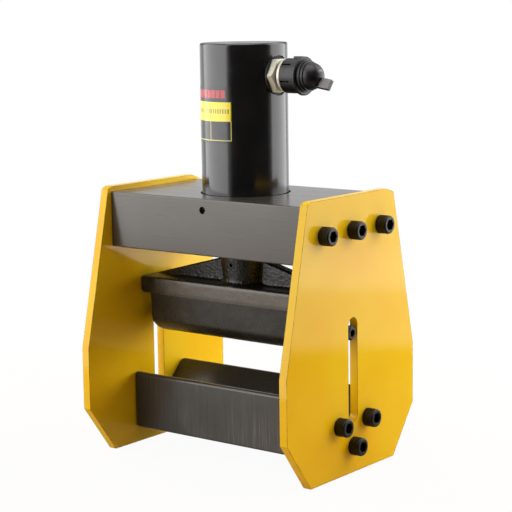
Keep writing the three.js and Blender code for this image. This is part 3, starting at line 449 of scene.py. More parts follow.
def cast_skin():
    material, tree, shader = start_material("cast_skin", metallic=0.2, ior=1.5)
    clouds = remap(tree, grain(tree, 40 * MM), 0.3, 0.7)
    colour = mix(tree, clouds, SKIN_DARK, SKIN_PALE)
    above_flange = remap(tree, place_along(tree, "Z"), FLANGE_TOP - MM, FLANGE_TOP + MM)
    # Painted shade: above the flange the skin is painted darker, as under the head block.
    colour = mix(tree, times(tree, above_flange, 0.6), colour, SKIN_SHADED)
    worn = remap(tree, grain(tree, 4 * MM), 0.45, 0.6, 0.0, 0.7)
    rubbed_and_lit = times(tree, edge_share(tree, 1.2 * MM), worn)
    # Painted highlight: the flange's front is painted paler, partly also skin rubbed by handling.
    rubbed_and_lit = calculate(tree, "MAXIMUM", rubbed_and_lit, flange_front_rubbed_and_lit(tree))
    colour = mix(tree, rubbed_and_lit, colour, SKIN_RUBBED_AND_LIT)
    sand = grain(tree, 1.3 * MM, detail=4.0)
    pebbles = times(tree, grain(tree, 2.8 * MM, detail=3.0), times(tree, above_flange, PEBBLE_SHARE))
    roughness = remap(tree, sand, 0.35, 0.65, 0.24, 0.42)
    slow = relief(tree, grain(tree, 12 * MM, detail=1.0), SLOW_DEPTH)
    normal = relief(tree, calculate(tree, "ADD", sand, pebbles), SAND_DEPTH, below=slow)
    return end_material(material, shader, colour, roughness, normal)


FINISHES["cast_iron"] = cast_skin()

# %% [markdown]
# The rest are small pieces with one job each: black screws, the chromed rod, the plated
# coupling, wire, bronze, rubber and moulded plastic. Seven recipes would repeat each other, so
# one function gives each of them two tones, a range of roughness and a grain of its own. Three
# extras are there for those that need them: bare metal on rubbed edges, a painted highlight on
# what faces up, and painted shade in crevices. The Ambient Occlusion node says how open a point
# is, so it finds the crevices.

# %% A function for small finishes
DOME_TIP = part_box("dust_cap")[0].x + 34.5 * MM
CREVICE, WEAR_REACH = 4 * MM, 0.5 * MM


def tongue_sheen_share(tree):
    """1 on the dust cap's tongue where it faces up, where it gets a painted highlight."""
    on_tongue = calculate(tree, "GREATER_THAN", place_along(tree, "X"), DOME_TIP)
    return times(tree, remap(tree, facing_along(tree, "Z"), 0.3, 0.5), on_tongue)


def plain_finish(
        name, dark, pale, dull, size, depth, metallic=0.0, ior=1.5, bare=None, dust_and_sheen=None, crevice_shade=None):
    """Two tones in clouds, a range of roughness (dull) and a relief of one grain size."""
    material, tree, shader = start_material(name, metallic=metallic, ior=ior)
    colour = mix(tree, remap(tree, grain(tree, 12 * MM), 0.3, 0.7), dark, pale)
    # Painted highlight: the dust cap's tongue is painted paler where it faces up.
    if dust_and_sheen is not None:
        colour = mix(tree, tongue_sheen_share(tree), colour, dust_and_sheen)
    if bare is not None:
        worn = remap(tree, grain(tree, 3 * MM), 0.4, 0.6, 0.2, 0.9)
        colour = mix(tree, times(tree, edge_share(tree, WEAR_REACH), worn), colour, bare)
    # Painted shade: crevices, found by Ambient Occlusion, are painted darker.
    if crevice_shade is not None:
        open_to_air = add_node(tree, "AmbientOcclusion", [("Distance", CREVICE)], samples=8).outputs["AO"]
        colour = mix(tree, remap(tree, open_to_air, 0.45, 0.8, 0.95, 0.0), colour, crevice_shade)
    roughness = remap(tree, grain(tree, size * 3), 0.3, 0.7, *dull)
    return end_material(material, shader, colour, roughness, relief(tree, grain(tree, size), depth))


print(f"the cap's tongue starts at x = {DOME_TIP / MM:.1f} mm")

# %% [markdown]
# Here are the small finishes themselves. Black oxide is a thin skin on steel, so it wears
# through on the knurls. Chrome is smooth and nearly white. Zinc is cloudy and a little yellow,
# and duller than chrome. Rubber and plastic differ most in roughness: a moulding is glossier.

# %% Small finishes
FINISHES |= {
    "black_oxide": plain_finish(
        "black_oxide", grey(0.004, 0.3), grey(0.008, 0.3), dull=(0.36, 0.48), size=0.6 * MM, depth=0.03 * MM,
        bare=grey(0.20, 0.15), ior=1.36),
    "hard_chrome": plain_finish(
        "hard_chrome", grey(0.58), grey(0.66), dull=(0.06, 0.12), size=0.8 * MM,
        depth=0.004 * MM, metallic=1.0),
    # The zinc's crevices, such as between the nut and its collar, get painted shade.
    "zinc_plate": plain_finish(
        "zinc_plate", (0.64, 0.61, 0.50, 1), (0.74, 0.71, 0.59, 1), dull=(0.34, 0.46), size=1 * MM,
        depth=0.02 * MM, metallic=0.3, bare=(0.70, 0.68, 0.60, 1), crevice_shade=(0.035, 0.03, 0.015, 1)),
    "spring_steel": plain_finish(
        "spring_wire", grey(0.14), grey(0.2), dull=(0.3, 0.42), size=0.8 * MM, depth=0.01 * MM, metallic=0.9),
    "bronze": plain_finish(
        "bearing_bronze", (0.36, 0.21, 0.075, 1), (0.45, 0.27, 0.11, 1), dull=(0.25, 0.4), size=1 * MM,
        depth=0.01 * MM, metallic=1.0),
    "black_rubber": plain_finish(
        "seal_rubber", grey(0.009), grey(0.014), dull=(0.55, 0.7), size=1 * MM, depth=0.03 * MM),
    # The moulded tongue gets a painted highlight where it faces up.
    "black_plastic": plain_finish(
        "moulded_plastic", (0.004, 0.0030, 0.0031, 1), (0.007, 0.0055, 0.0058, 1), dull=(0.33, 0.43),
        size=1.2 * MM, depth=0.03 * MM, bare=grey(0.06), dust_and_sheen=(0.24, 0.23, 0.233, 1), ior=1.46),
}
print(f"{len(FINISHES) + 1} finishes")

# %% [markdown]
# Every finished piece needs the same last steps: it takes its material, it is tied to the body
# that it moves with, and it hides the plain engineering solid that it stands for. Typing each
# solid's body here again could go wrong, so it is read from the record, and a piece only has to
# name its solid.

# %% Bodies and finishes of the solids
BODY_OF = {node: body for body, nodes in frame["record"]["behaviour"]["bodies"].items() for node in nodes}
FINISH_OF = {
    "left_side_plate": "yellow_paint", "right_side_plate": "yellow_paint", "cylinder_tube": "black_paint",
    "head_block": "dark_steel", "lower_die": "dark_steel", "piston": "dark_steel",
    "upper_punch": "cast_iron", "piston_rod": "hard_chrome", "dust_cap": "black_plastic",
    "gland_bush": "bronze", "piston_guide_ring": "bronze",
    "rod_seal": "black_rubber", "rod_wiper": "black_rubber", "piston_seal": "black_rubber",
    "port_seal_washer": "black_rubber",
    "return_spring": "spring_steel", "coupler_valve_spring": "spring_steel",
    "coupler_nipple": "zinc_plate", "coupler_barrel": "zinc_plate", "coupler_poppet": "zinc_plate",
}


def finish_of(node):
    """The finish of a solid. All screws are blackened."""
    return FINISH_OF.get(node, "black_oxide")


def dress(piece, material):
    piece.data.materials.clear()
    piece.data.materials.append(material)


def install(piece, node, material=None):
    """Ties a finished piece to its solid's body, with its finish, in the solid's place."""
    dress(piece, material or FINISHES[finish_of(node)])
    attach(piece, BODY_OF[node])
    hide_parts(node)
    size = piece.dimensions / MM
    print(f"{piece.name}: {size.x:.1f} x {size.y:.1f} x {size.z:.1f} mm, {len(piece.data.polygons)} faces")
    return piece


for node, solid in frame["nodes"].items():
    dress(solid, FINISHES[finish_of(node)])
print(f"{len(BODY_OF)} solids dressed")

# %% [markdown]
# Most pieces here start in one of two ways. A flat or long piece is an outline drawn with
# extruded points, filled and pulled straight. A round one is half a section, drawn the same way
# and spun about its axis. A mesh could also be typed in face by face, but nobody could check
# that. An outline reads like a workshop drawing.

# %% Helpers for outlines and sections
def choose(*pieces):
    """Selects only these pieces, so that an operator touches nothing else. The first is active."""
    bpy.ops.object.select_all(action="DESELECT")
    for piece in pieces:
        piece.select_set(True)
    bpy.context.view_layer.objects.active = pieces[0]
    return pieces[0]


def call(name):
    """Names the object that an operator has just made."""
    piece = bpy.context.object
    piece.name = piece.data.name = name
    return piece


def draw(points):
    """Merges a small plane to one vertex and extrudes that from point to point. Stays in edit mode."""
    bpy.ops.object.select_all(action="DESELECT")
    bpy.ops.mesh.primitive_plane_add(size=MM)
    bpy.ops.object.mode_set(mode="EDIT")
    bpy.ops.mesh.select_mode(type="VERT")
    bpy.ops.mesh.select_all(action="SELECT")
    bpy.ops.mesh.merge(type="CENTER")
    bpy.ops.transform.translate(value=points[0])
    for here, there in zip(points, points[1:]):
        bpy.ops.mesh.extrude_region_move(TRANSFORM_OT_translate={"value": there - here})
    bpy.ops.mesh.select_all(action="SELECT")


def clean_up():
    """Welds doubled points, turns all faces outwards and leaves edit mode."""
    bpy.ops.mesh.select_all(action="SELECT")
    bpy.ops.mesh.remove_doubles(threshold=MM / 1000)
    bpy.ops.mesh.normals_make_consistent(inside=False)
    bpy.ops.object.mode_set(mode="OBJECT")


def pulled(name, outline, pull):
    """A closed outline of points, filled and extruded by the vector pull."""
    draw([Vector(point) for point in outline])
    bpy.ops.mesh.edge_face_add()
    bpy.ops.mesh.extrude_region_move(TRANSFORM_OT_translate={"value": pull})
    clean_up()
    return call(name)


def turned(name, profile, axis="Z", centre=(0, 0, 0), steps=96):
    """Spins a profile of (radius, place along the axis) about an axis through centre."""
    along = Vector((axis == "X", axis == "Y", axis == "Z"))
    outwards = Vector((0, 0, 1)) if axis != "Z" else Vector((1, 0, 0))
    centre = Vector(centre)
    draw([centre + outwards * radius + along * place for radius, place in profile])
    bpy.ops.mesh.spin(steps=steps, angle=2 * math.pi, center=centre, axis=along)
    clean_up()
    return call(name)


def closed(profile):
    """A profile that ends where it starts, for a ring or a tube."""
    return [*profile, profile[0]]


def arc(centre, radius, start, end, steps):
    """Points on an arc in a plane, angles in degrees."""
    angles = [math.radians(start + (end - start) * i / steps) for i in range(steps + 1)]
    return [(centre[0] + radius * math.cos(a), centre[1] + radius * math.sin(a)) for a in angles]


print("a quarter circle in 6 steps has", len(arc((0, 0), MM, 0, 90, 6)), "points")

# %% [markdown]
# Holes are cut with tools, as a machinist would: a tool is its own mesh, and a Boolean modifier
# takes it away. Cutting by hand would leave ragged rims where two curves meet. Then real edges
# are rounded a little, because it is the rounded edges that catch the light. Last, gentle curves
# are shaded smooth and real corners stay sharp.

# %% Helpers for cutting and rounding
HEX_CORNER = 1 / math.cos(math.radians(30))


def drill(radius, start, end, sides=48, turn=0.0):
    """A straight tool between two points. Six sides make a key's hexagon, turned about its axis."""
    start, end = Vector(start), Vector(end)
    along = end - start
    rotation = along.to_track_quat("Z", "Y") @ Matrix.Rotation(turn, 3, "Z").to_quaternion()
    bpy.ops.object.select_all(action="DESELECT")
    bpy.ops.mesh.primitive_cylinder_add(
        vertices=sides, radius=radius, depth=along.length,
        location=(start + end) / 2, rotation=rotation.to_euler(),
    )
    return bpy.context.object


def shape_with(piece, tool, operation="DIFFERENCE"):
    """Cuts a tool away from a piece, or joins or intersects them, and drops the tool."""
    choose(piece)
    cut = piece.modifiers.new("cut", "BOOLEAN")
    cut.operation, cut.solver, cut.object = operation, "EXACT", tool
    bpy.ops.object.modifier_apply(modifier=cut.name)
    bpy.data.objects.remove(tool)
    return piece


def round_edges(piece, radius, segments=3, sharper_than=30):
    """Rounds every edge that turns by more than some degrees."""
    choose(piece)
    bevel = piece.modifiers.new("round", "BEVEL")
    bevel.width, bevel.segments = radius, segments
    bevel.limit_method, bevel.angle_limit = "ANGLE", math.radians(sharper_than)
    bpy.ops.object.modifier_apply(modifier=bevel.name)
    return piece


def settle(piece, smoother_than=40):
    """Applies the object's place, and shades it smooth except at real corners."""
    choose(piece)
    bpy.ops.object.transform_apply(location=True, rotation=True, scale=True)
    bpy.ops.object.shade_smooth_by_angle(angle=math.radians(smoother_than))
    weighted = piece.modifiers.new("weighted", "WEIGHTED_NORMAL")
    weighted.keep_sharp = True
    bpy.ops.object.modifier_apply(modifier=weighted.name)
    return piece


print(f"a hexagon's corners lie {HEX_CORNER:.3f} times as far out as its flats")

# %% [markdown]
# Some pieces start as a plain block, and some are twins of another. A linked copy would share
# its mesh with the first, so here each copy gets a mesh of its own. Fine work touches only a few
# edges of a mesh. Numbering them would break as soon as a size changes, so they are picked by a
# question about where they lie.

# %% Helpers for blocks, copies and picks
def add_block(name, size, place):
    """A block of a size with its middle at a place."""
    bpy.ops.object.select_all(action="DESELECT")
    bpy.ops.mesh.primitive_cube_add(size=1, location=place, scale=size)
    piece = call(name)
    bpy.ops.object.transform_apply(location=True, rotation=True, scale=True)
    return piece


def copied(piece, name, matrix):
    """A copy with a mesh of its own, moved by a matrix that is applied to the mesh."""
    choose(piece)
    bpy.ops.object.duplicate()
    twin = call(name)
    twin.matrix_world = matrix
    bpy.ops.object.transform_apply(location=True, rotation=True, scale=True)
    return twin


def pick(piece, kind, wanted):
    """In edit mode, selects only the faces or edges that wanted says yes to."""
    bpy.ops.mesh.select_mode(type=kind)
    bpy.ops.mesh.select_all(action="DESELECT")
    mesh = bmesh.from_edit_mesh(piece.data)
    chosen = [item for item in (mesh.faces if kind == "FACE" else mesh.edges) if wanted(item)]
    for item in chosen:
        item.select_set(True)
    mesh.select_flush_mode()
    bmesh.update_edit_mesh(piece.data)
    return len(chosen)


def middle(node):
    """The centre of a solid's box."""
    low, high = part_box(node)
    return (low + high) / 2


def block_of(name, node):
    """A block as large as a solid's box."""
    low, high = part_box(node)
    return add_block(name, high - low, middle(node))


print("middle of the head block:", [round(value / MM, 1) for value in middle("head_block")], "mm")

# %% [markdown]
# Each side plate is eight millimetres thick, narrow at the foot, widest at the die and tapered
# to the head. The long slot guides the punch's screw. A box with its corners cut off would do,
# but an outline shows the whole shape at a glance. It is drawn once, with the rear top corner
# cut more than the front one, and the left plate is a copy of the right.

# %% Side plates
FOOT_HALF, TOP_HALF = 65 * MM, 66 * MM
LOWER_SHOULDER, UPPER_SHOULDER = 45 * MM, 102 * MM
FRONT_CORNER, REAR_CORNER = (4.8 * MM, 2.2 * MM), (11.6 * MM, 3.7 * MM)
SLOT_RADIUS, SLOT_HEADROOM, SLOT_RUN_OUT = 7 * MM, 7.4 * MM, 17.7 * MM
BOLT_HOLE_RADIUS = 5.8 * MM
PLATE_ROUND = 0.7 * MM
PAST = 2 * MM  # how far a tool sticks out of what it cuts
TRAVEL = {joint["name"]: joint["range_m"][1] for joint in frame["joints"]}
BOLTS = [node for node in BODY_OF if "_bolt_" in node]

plate_low, plate_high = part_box("right_side_plate")
plate_thickness = plate_high.x - plate_low.x
guide_z = middle("guide_screw_right").z


def side_plate():
    wide, top = plate_high.y, plate_high.z
    outline = [
        (-FOOT_HALF, 0), (FOOT_HALF, 0), (wide, LOWER_SHOULDER), (wide, UPPER_SHOULDER),
        (TOP_HALF, top - REAR_CORNER[1]), (TOP_HALF - REAR_CORNER[0], top),
        (-TOP_HALF + FRONT_CORNER[0], top), (-TOP_HALF, top - FRONT_CORNER[1]),
        (-wide, UPPER_SHOULDER), (-wide, LOWER_SHOULDER),
    ]
    plate = pulled("plate_right", [(plate_low.x, y, z) for y, z in closed(outline)], (plate_thickness, 0, 0))
    slot_top, slot_foot = guide_z + SLOT_HEADROOM, guide_z - TRAVEL["ram_slide"] - SLOT_RUN_OUT
    slot = arc((0, slot_top), SLOT_RADIUS, 0, 180, 16) + arc((0, slot_foot), SLOT_RADIUS, 180, 360, 16)
    start, length = plate_low.x - PAST, plate_thickness + 2 * PAST
    shape_with(plate, pulled("slot", [(start, y, z) for y, z in closed(slot)], (length, 0, 0)))
    for bolt in (name for name in BOLTS if "_right_" in name):
        y, z = middle(bolt).yz
        shape_with(plate, drill(BOLT_HOLE_RADIUS, (plate_low.x - PAST, y, z), (plate_high.x + PAST, y, z)))
    return settle(round_edges(plate, PLATE_ROUND))


right_plate = side_plate()
to_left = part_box("left_side_plate")[0].x - plate_low.x
left_plate = copied(right_plate, "plate_left", Matrix.Translation((to_left, 0, 0)))
install(right_plate, "right_side_plate")
install(left_plate, "left_side_plate")

# %% [markdown]
# The head block takes the whole bending force: it is a solid bar, bored for the cylinder. Bored
# first and rounded after, every rim would get the same wide edge. So a block is rounded first
# and bored after, and then the bore's rim gets its own small edge.

# %% Head block
BLOCK_ROUND, MOUTH_WIDTH, MOUTH_DEPTH, RIM_ROUND = 1.3 * MM, 1.3 * MM, 3 * MM, 0.3 * MM
BORE_GAP, TAP_RADIUS, TAP_DEPTH = 0.3 * MM, 5.3 * MM, 21 * MM
SET_SCREW_RADIUS = 3.3 * MM

tube_low, tube_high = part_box("cylinder_tube")
tube_radius = tube_high.y
block_low, block_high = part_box("head_block")


def tap_holes(piece, node, kind):
    """Holes in both ends of a piece for its screws."""
    low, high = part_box(node)
    for bolt in (name for name in BOLTS if name.startswith(kind)):
        y, z = middle(bolt).yz
        end, way = (high.x, 1) if "_right_" in bolt else (low.x, -1)
        shape_with(piece, drill(TAP_RADIUS, (end + way * PAST, y, z), (end - way * TAP_DEPTH, y, z)))


def head_block():
    block = round_edges(block_of("block_head", "head_block"), BLOCK_ROUND)
    bore = tube_radius + BORE_GAP
    ledge = block_high.z - MOUTH_DEPTH
    cutter = turned("cutter", [
        (0, block_low.z - PAST), (bore, block_low.z - PAST), (bore, ledge), (bore + MOUTH_WIDTH, ledge),
        (bore + MOUTH_WIDTH, block_high.z + PAST), (0, block_high.z + PAST),
    ], steps=128)
    shape_with(block, cutter)
    screw = middle("cylinder_set_screw")
    shape_with(block, drill(SET_SCREW_RADIUS, (0, block_low.y - PAST, screw.z), (0, -bore + PAST, screw.z)))
    tap_holes(block, "head_block", "head_bolt")
    return settle(round_edges(block, RIM_ROUND, segments=2, sharper_than=50))


install(head_block(), "head_block")

# %% [markdown]
# The die is a bar with a right-angled groove milled along its top. It could be an outline pulled
# straight, but then its ends could not be rounded apart from its groove. So the groove is
# milled: the tool is a square bar standing on one edge, with that edge blunted, which leaves
# the groove its narrow flat floor.

# %% Lower die
GROOVE_ROOT, GROOVE_FLAT = 36.4 * MM, 1.2 * MM
DIE_END_ROUND, DIE_EDGE_ROUND, LIP_ROUND = 4.5 * MM, 2.8 * MM, 0.35 * MM
TOOL_SIDE = 120 * MM


def milling_tool():
    """A square bar on its edge. Its lowest edge is blunted by a bevel."""
    bpy.ops.object.select_all(action="DESELECT")
    bpy.ops.mesh.primitive_cube_add(size=TOOL_SIDE, scale=(3, 1, 1))
    tool = call("milling_tool")
    bpy.ops.object.mode_set(mode="EDIT")
    nearly_half = TOOL_SIDE / 2 * 0.99
    pick(tool, "EDGE", lambda e: all(v.co.y < -nearly_half and v.co.z < -nearly_half for v in e.verts))
    bpy.ops.mesh.bevel(offset=GROOVE_FLAT * math.sqrt(2), offset_type="OFFSET", segments=1)
    bpy.ops.object.mode_set(mode="OBJECT")
    tool.rotation_euler.x = math.radians(45)
    tool.location.z = GROOVE_ROOT + TOOL_SIDE / math.sqrt(2)
    return tool


def lower_die():
    die = block_of("die_grooved", "lower_die")
    choose(die)
    bpy.ops.object.mode_set(mode="EDIT")
    pick(die, "EDGE", lambda e: abs(e.verts[0].co.z - e.verts[1].co.z) > MM)
    bpy.ops.mesh.bevel(offset=DIE_END_ROUND, segments=6)
    bpy.ops.object.mode_set(mode="OBJECT")
    round_edges(die, DIE_EDGE_ROUND, segments=5, sharper_than=50)
    shape_with(die, milling_tool())
    tap_holes(die, "lower_die", "die_bolt")
    return settle(round_edges(die, LIP_ROUND, segments=2, sharper_than=35))


install(lower_die(), "lower_die", GROUND_STEEL)

# %% [markdown]
# Twelve cap screws hold the frame. Their heads are knurled: fine ridges for the fingers. Relief
# in the material would leave the head's outline smooth. On a cylinder with many upright edges,
# pulling every second one a little inwards gives ridges that are really there.

# %% Knurled head
HEAD_RADIUS, HEAD_HEIGHT, HEAD_CHAMFER = 8.25 * MM, 10.7 * MM, 1.6 * MM
KNURL_EDGES, KNURL_DEPTH = 96, 0.32 * MM
KNURL_LOW, KNURL_HIGH = 1.1 * MM, 8.8 * MM
SLACK = 0.1 * MM  # how far an edge may lie from a face and still count as on it


def knurled_head():
    """A screw head on its seat at the origin, pointing up. Stays in edit mode."""
    bpy.ops.object.select_all(action="DESELECT")
    bpy.ops.mesh.primitive_cylinder_add(
        vertices=KNURL_EDGES, radius=HEAD_RADIUS, depth=HEAD_HEIGHT, location=(0, 0, HEAD_HEIGHT / 2),
    )
    screw = call("cap_screw")
    bpy.ops.object.transform_apply(location=True)
    bpy.ops.object.mode_set(mode="EDIT")
    pick(screw, "EDGE", lambda e: all(v.co.z > HEAD_HEIGHT - SLACK for v in e.verts))
    bpy.ops.mesh.bevel(offset=HEAD_CHAMFER, segments=2)
    for height in (KNURL_LOW, KNURL_HIGH):
        bpy.ops.mesh.select_all(action="SELECT")
        bpy.ops.mesh.bisect(plane_co=(0, 0, height), plane_no=(0, 0, 1))

    def is_ridge(edge):
        lowest, highest = sorted(v.co.z for v in edge.verts)
        place = math.atan2(edge.verts[0].co.y, edge.verts[0].co.x) / (2 * math.pi) * KNURL_EDGES
        return highest - lowest > HEAD_HEIGHT / 2 and round(place) % 2 == 0

    pick(screw, "EDGE", is_ridge)
    share = 1 - KNURL_DEPTH / HEAD_RADIUS
    bpy.ops.transform.resize(value=(share, share, 1), center_override=(0, 0, 0))
    return screw


print(f"{KNURL_EDGES // 2} ridges, {KNURL_DEPTH / MM:.2f} mm deep")

# %% [markdown]
# The shank grows out of the head's underside, which is inset to the shank's width and pulled
# down. The hexagon socket is cut with a six-sided tool, and its mouth is rounded, since that rim
# catches the light. Making each screw by itself would give the same one twelve times, so one is
# made, and a copy of it is laid on its side in each place.

# %% Cap screws
SHANK_RADIUS, SHANK_LENGTH = 5 * MM, 26.1 * MM
SOCKET_HALF, SOCKET_DEPTH, SOCKET_ROUND = 4.6 * MM, 5.5 * MM, 0.45 * MM


def cap_screw():
    screw = knurled_head()
    pick(screw, "FACE", lambda f: f.normal.z < -0.9)
    bpy.ops.mesh.inset(thickness=HEAD_RADIUS - SHANK_RADIUS)
    bpy.ops.mesh.extrude_region_move(TRANSFORM_OT_translate={"value": (0, 0, -SHANK_LENGTH)})
    bpy.ops.mesh.bevel(offset=MM, segments=1)
    bpy.ops.object.mode_set(mode="OBJECT")
    floor = HEAD_HEIGHT - SOCKET_DEPTH
    shape_with(screw, drill(SOCKET_HALF * HEX_CORNER, (0, 0, floor), (0, 0, HEAD_HEIGHT + PAST), 6))
    bpy.ops.object.mode_set(mode="EDIT")
    mouth = SOCKET_HALF * HEX_CORNER + SLACK
    pick(screw, "EDGE", lambda e: all(
        v.co.z > HEAD_HEIGHT - SLACK and v.co.xy.length < mouth for v in e.verts))
    bpy.ops.mesh.bevel(offset=SOCKET_ROUND, segments=2)
    bpy.ops.object.mode_set(mode="OBJECT")
    return settle(screw, 50)


def place_bolts():
    """Lays a copy of the screw on its side at each bolt's place, its head outwards."""
    model = cap_screw()
    for bolt in BOLTS:
        low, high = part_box(bolt)
        way = 1 if "_right_" in bolt else -1
        seat = high.x - HEAD_HEIGHT if way > 0 else low.x + HEAD_HEIGHT
        y, z = middle(bolt).yz
        turn = Matrix.Rotation(math.radians(90 * way), 4, "Y")
        install(copied(model, bolt.replace("bolt", "screw"), Matrix.Translation((seat, y, z)) @ turn), bolt)
    bpy.data.objects.remove(model)


place_bolts()

# %% [markdown]
# Smaller screws: two guide screws run in the plates' slots, one set screw holds the rod in the
# punch, and another locks the cylinder. A cylinder with a bevel would give the head, but not the
# shoulder or the point. So each is half a section spun round, with a hexagon socket cut in it.

# %% Guide screws and set screws
GUIDE_RADIUS, GUIDE_THREAD_RADIUS, GUIDE_THREAD = 6.5 * MM, 4 * MM, 16 * MM
GUIDE_SOCKET_HALF, GUIDE_SOCKET_DEPTH = 3.3 * MM, 4.5 * MM
GUIDE_CHAMFER, TURNED_ROUND = 1.2 * MM, 0.25 * MM
SET_SOCKET_DEPTH, SET_CHAMFER = 3 * MM, 0.5 * MM
POINT_SHARE, POINT_LENGTH = 0.62, 1.1 * MM


def guide_screw(name, node, way):
    low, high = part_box(node)
    face, tip = (high.x, low.x) if way > 0 else (low.x, high.x)
    seat = tip + way * GUIDE_THREAD
    z = middle(node).z
    screw = turned(name, [
        (0, tip), (GUIDE_THREAD_RADIUS, tip), (GUIDE_THREAD_RADIUS, seat), (GUIDE_RADIUS, seat),
        (GUIDE_RADIUS, face - way * GUIDE_CHAMFER), (GUIDE_RADIUS - GUIDE_CHAMFER, face), (0, face),
    ], "X", (0, 0, z), 64)
    start, end = (face - way * GUIDE_SOCKET_DEPTH, 0, z), (face + way * PAST, 0, z)
    shape_with(screw, drill(GUIDE_SOCKET_HALF * HEX_CORNER, start, end, 6))
    return install(settle(round_edges(screw, TURNED_ROUND, 2, 50)), node)


def set_screw(name, node, radius, socket_half):
    """A headless screw along Y, its socket at the front, its blunt point behind."""
    low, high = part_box(node)
    z = middle(node).z
    point, shoulder = radius * POINT_SHARE, high.y - POINT_LENGTH
    screw = turned(name, [
        (0, low.y), (radius - SET_CHAMFER, low.y), (radius, low.y + SET_CHAMFER), (radius, shoulder),
        (point, shoulder), (point, high.y), (0, high.y),
    ], "Y", (0, 0, z), 48)
    start, end = (0, low.y - PAST, z), (0, low.y + SET_SOCKET_DEPTH, z)
    shape_with(screw, drill(socket_half * HEX_CORNER, start, end, 6))
    return install(settle(screw), node)


guide_screw("guide_right", "guide_screw_right", 1)
guide_screw("guide_left", "guide_screw_left", -1)
set_screw("set_screw_punch", "punch_set_screw", 4 * MM, 2 * MM)
set_screw("set_screw_block", "cylinder_set_screw", 3 * MM, 1.5 * MM)

# %% [markdown]
# The cylinder is a thick tube, closed above. On the right its wall is cut flat in a shallow round
# face, the spot face, where the coupling seals. A ready-made cylinder has flat facets, and gloss
# shows every one of them. So a section with a rounded top is spun in many fine steps.

# %% Cylinder
BORE_RADIUS, FOOT_CHAMFER, TOP_ROUND = 30 * MM, 0.8 * MM, 2 * MM
SPOT_FACE_RADIUS, PORT_RADIUS, PORT_DEPTH = 18 * MM, 8.5 * MM, 20 * MM
WASHER_GAP, RING_GAP = 0.1 * MM, 0.8 * MM

port = middle("port_seal_washer")
washer_low, washer_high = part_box("port_seal_washer")
spot_face_x = washer_low.x - WASHER_GAP
bore_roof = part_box("piston")[1].z + BORE_GAP


def cylinder_tube():
    low, high = tube_low.z, tube_high.z
    top = [(tube_radius - TOP_ROUND + x, high - TOP_ROUND + z) for x, z in arc((0, 0), TOP_ROUND, 0, 90, 6)]
    under_port, over_port = port.z - SPOT_FACE_RADIUS - RING_GAP, port.z + SPOT_FACE_RADIUS + RING_GAP
    tube = turned("tube_cylinder", closed([
        (BORE_RADIUS + FOOT_CHAMFER, low), (tube_radius - FOOT_CHAMFER, low),
        (tube_radius, low + FOOT_CHAMFER), (tube_radius, under_port), (tube_radius, over_port),
        *top, (0, high), (0, bore_roof), (BORE_RADIUS, bore_roof), (BORE_RADIUS, low + FOOT_CHAMFER),
    ]), steps=192)
    beyond = tube_radius + PAST
    shape_with(tube, drill(SPOT_FACE_RADIUS, (spot_face_x, 0, port.z), (beyond, 0, port.z), 96))
    inner = spot_face_x - PORT_DEPTH
    shape_with(tube, drill(PORT_RADIUS, (inner, 0, port.z), (beyond, 0, port.z)))
    return settle(round_edges(tube, TURNED_ROUND, 2, 50), 35)


install(cylinder_tube(), "cylinder_tube")

# %% [markdown]
# The label's print is a pattern of plain cells without words. A picture could carry it, but a
# pattern from numbers stays sharp at any distance. The distance round the cylinder is an angle
# times a radius, and lines are where that distance is near a multiple of a cell's width.

# %% Label print
CELL_RIGHT, CELL_WIDTH, CELLS = 14.2 * MM, 22.0 * MM, 3
BAND_LOW, BAND_HIGH, FRAME_LOW = 312.6 * MM, 329.7 * MM, 295.6 * MM
STRIPE_LOW, STRIPE_HIGH = 333.2 * MM, 340.3 * MM
LINE_HALF = 0.42 * MM
STRIPE_RIGHT, BLOCK_PITCH, BLOCK_GAP = -4.9 * MM, 5.4 * MM, 0.5 * MM
TICK_LOW, TICK_HIGH, TICK_PITCH, TICK_GAP = 319.5 * MM, 323.6 * MM, 2.6 * MM, 0.5 * MM
PRINT_RED, PRINT_YELLOW, PRINT_PALE = (0.62, 0.035, 0.05, 1), (0.95, 0.82, 0.05, 1), (0.62, 0.56, 0.16, 1)
PRINT_OLIVE, PRINT_BROWN = (0.30, 0.25, 0.02, 1), (0.20, 0.16, 0.02, 1)
STRIPE_INK, DIVIDER_INK, TICK_INK = 0.85, 0.7, 0.75


def blocks(tree, along, z, right, low, high, pitch, gap):
    """A row of plain blocks to the left of a place, with gaps between them."""
    row = times(tree, between(tree, z, low, high), calculate(tree, "LESS_THAN", along, right))
    to_gap = calculate(tree, "PINGPONG", calculate(tree, "SUBTRACT", along, right), pitch / 2)
    return times(tree, row, calculate(tree, "GREATER_THAN", to_gap, gap))


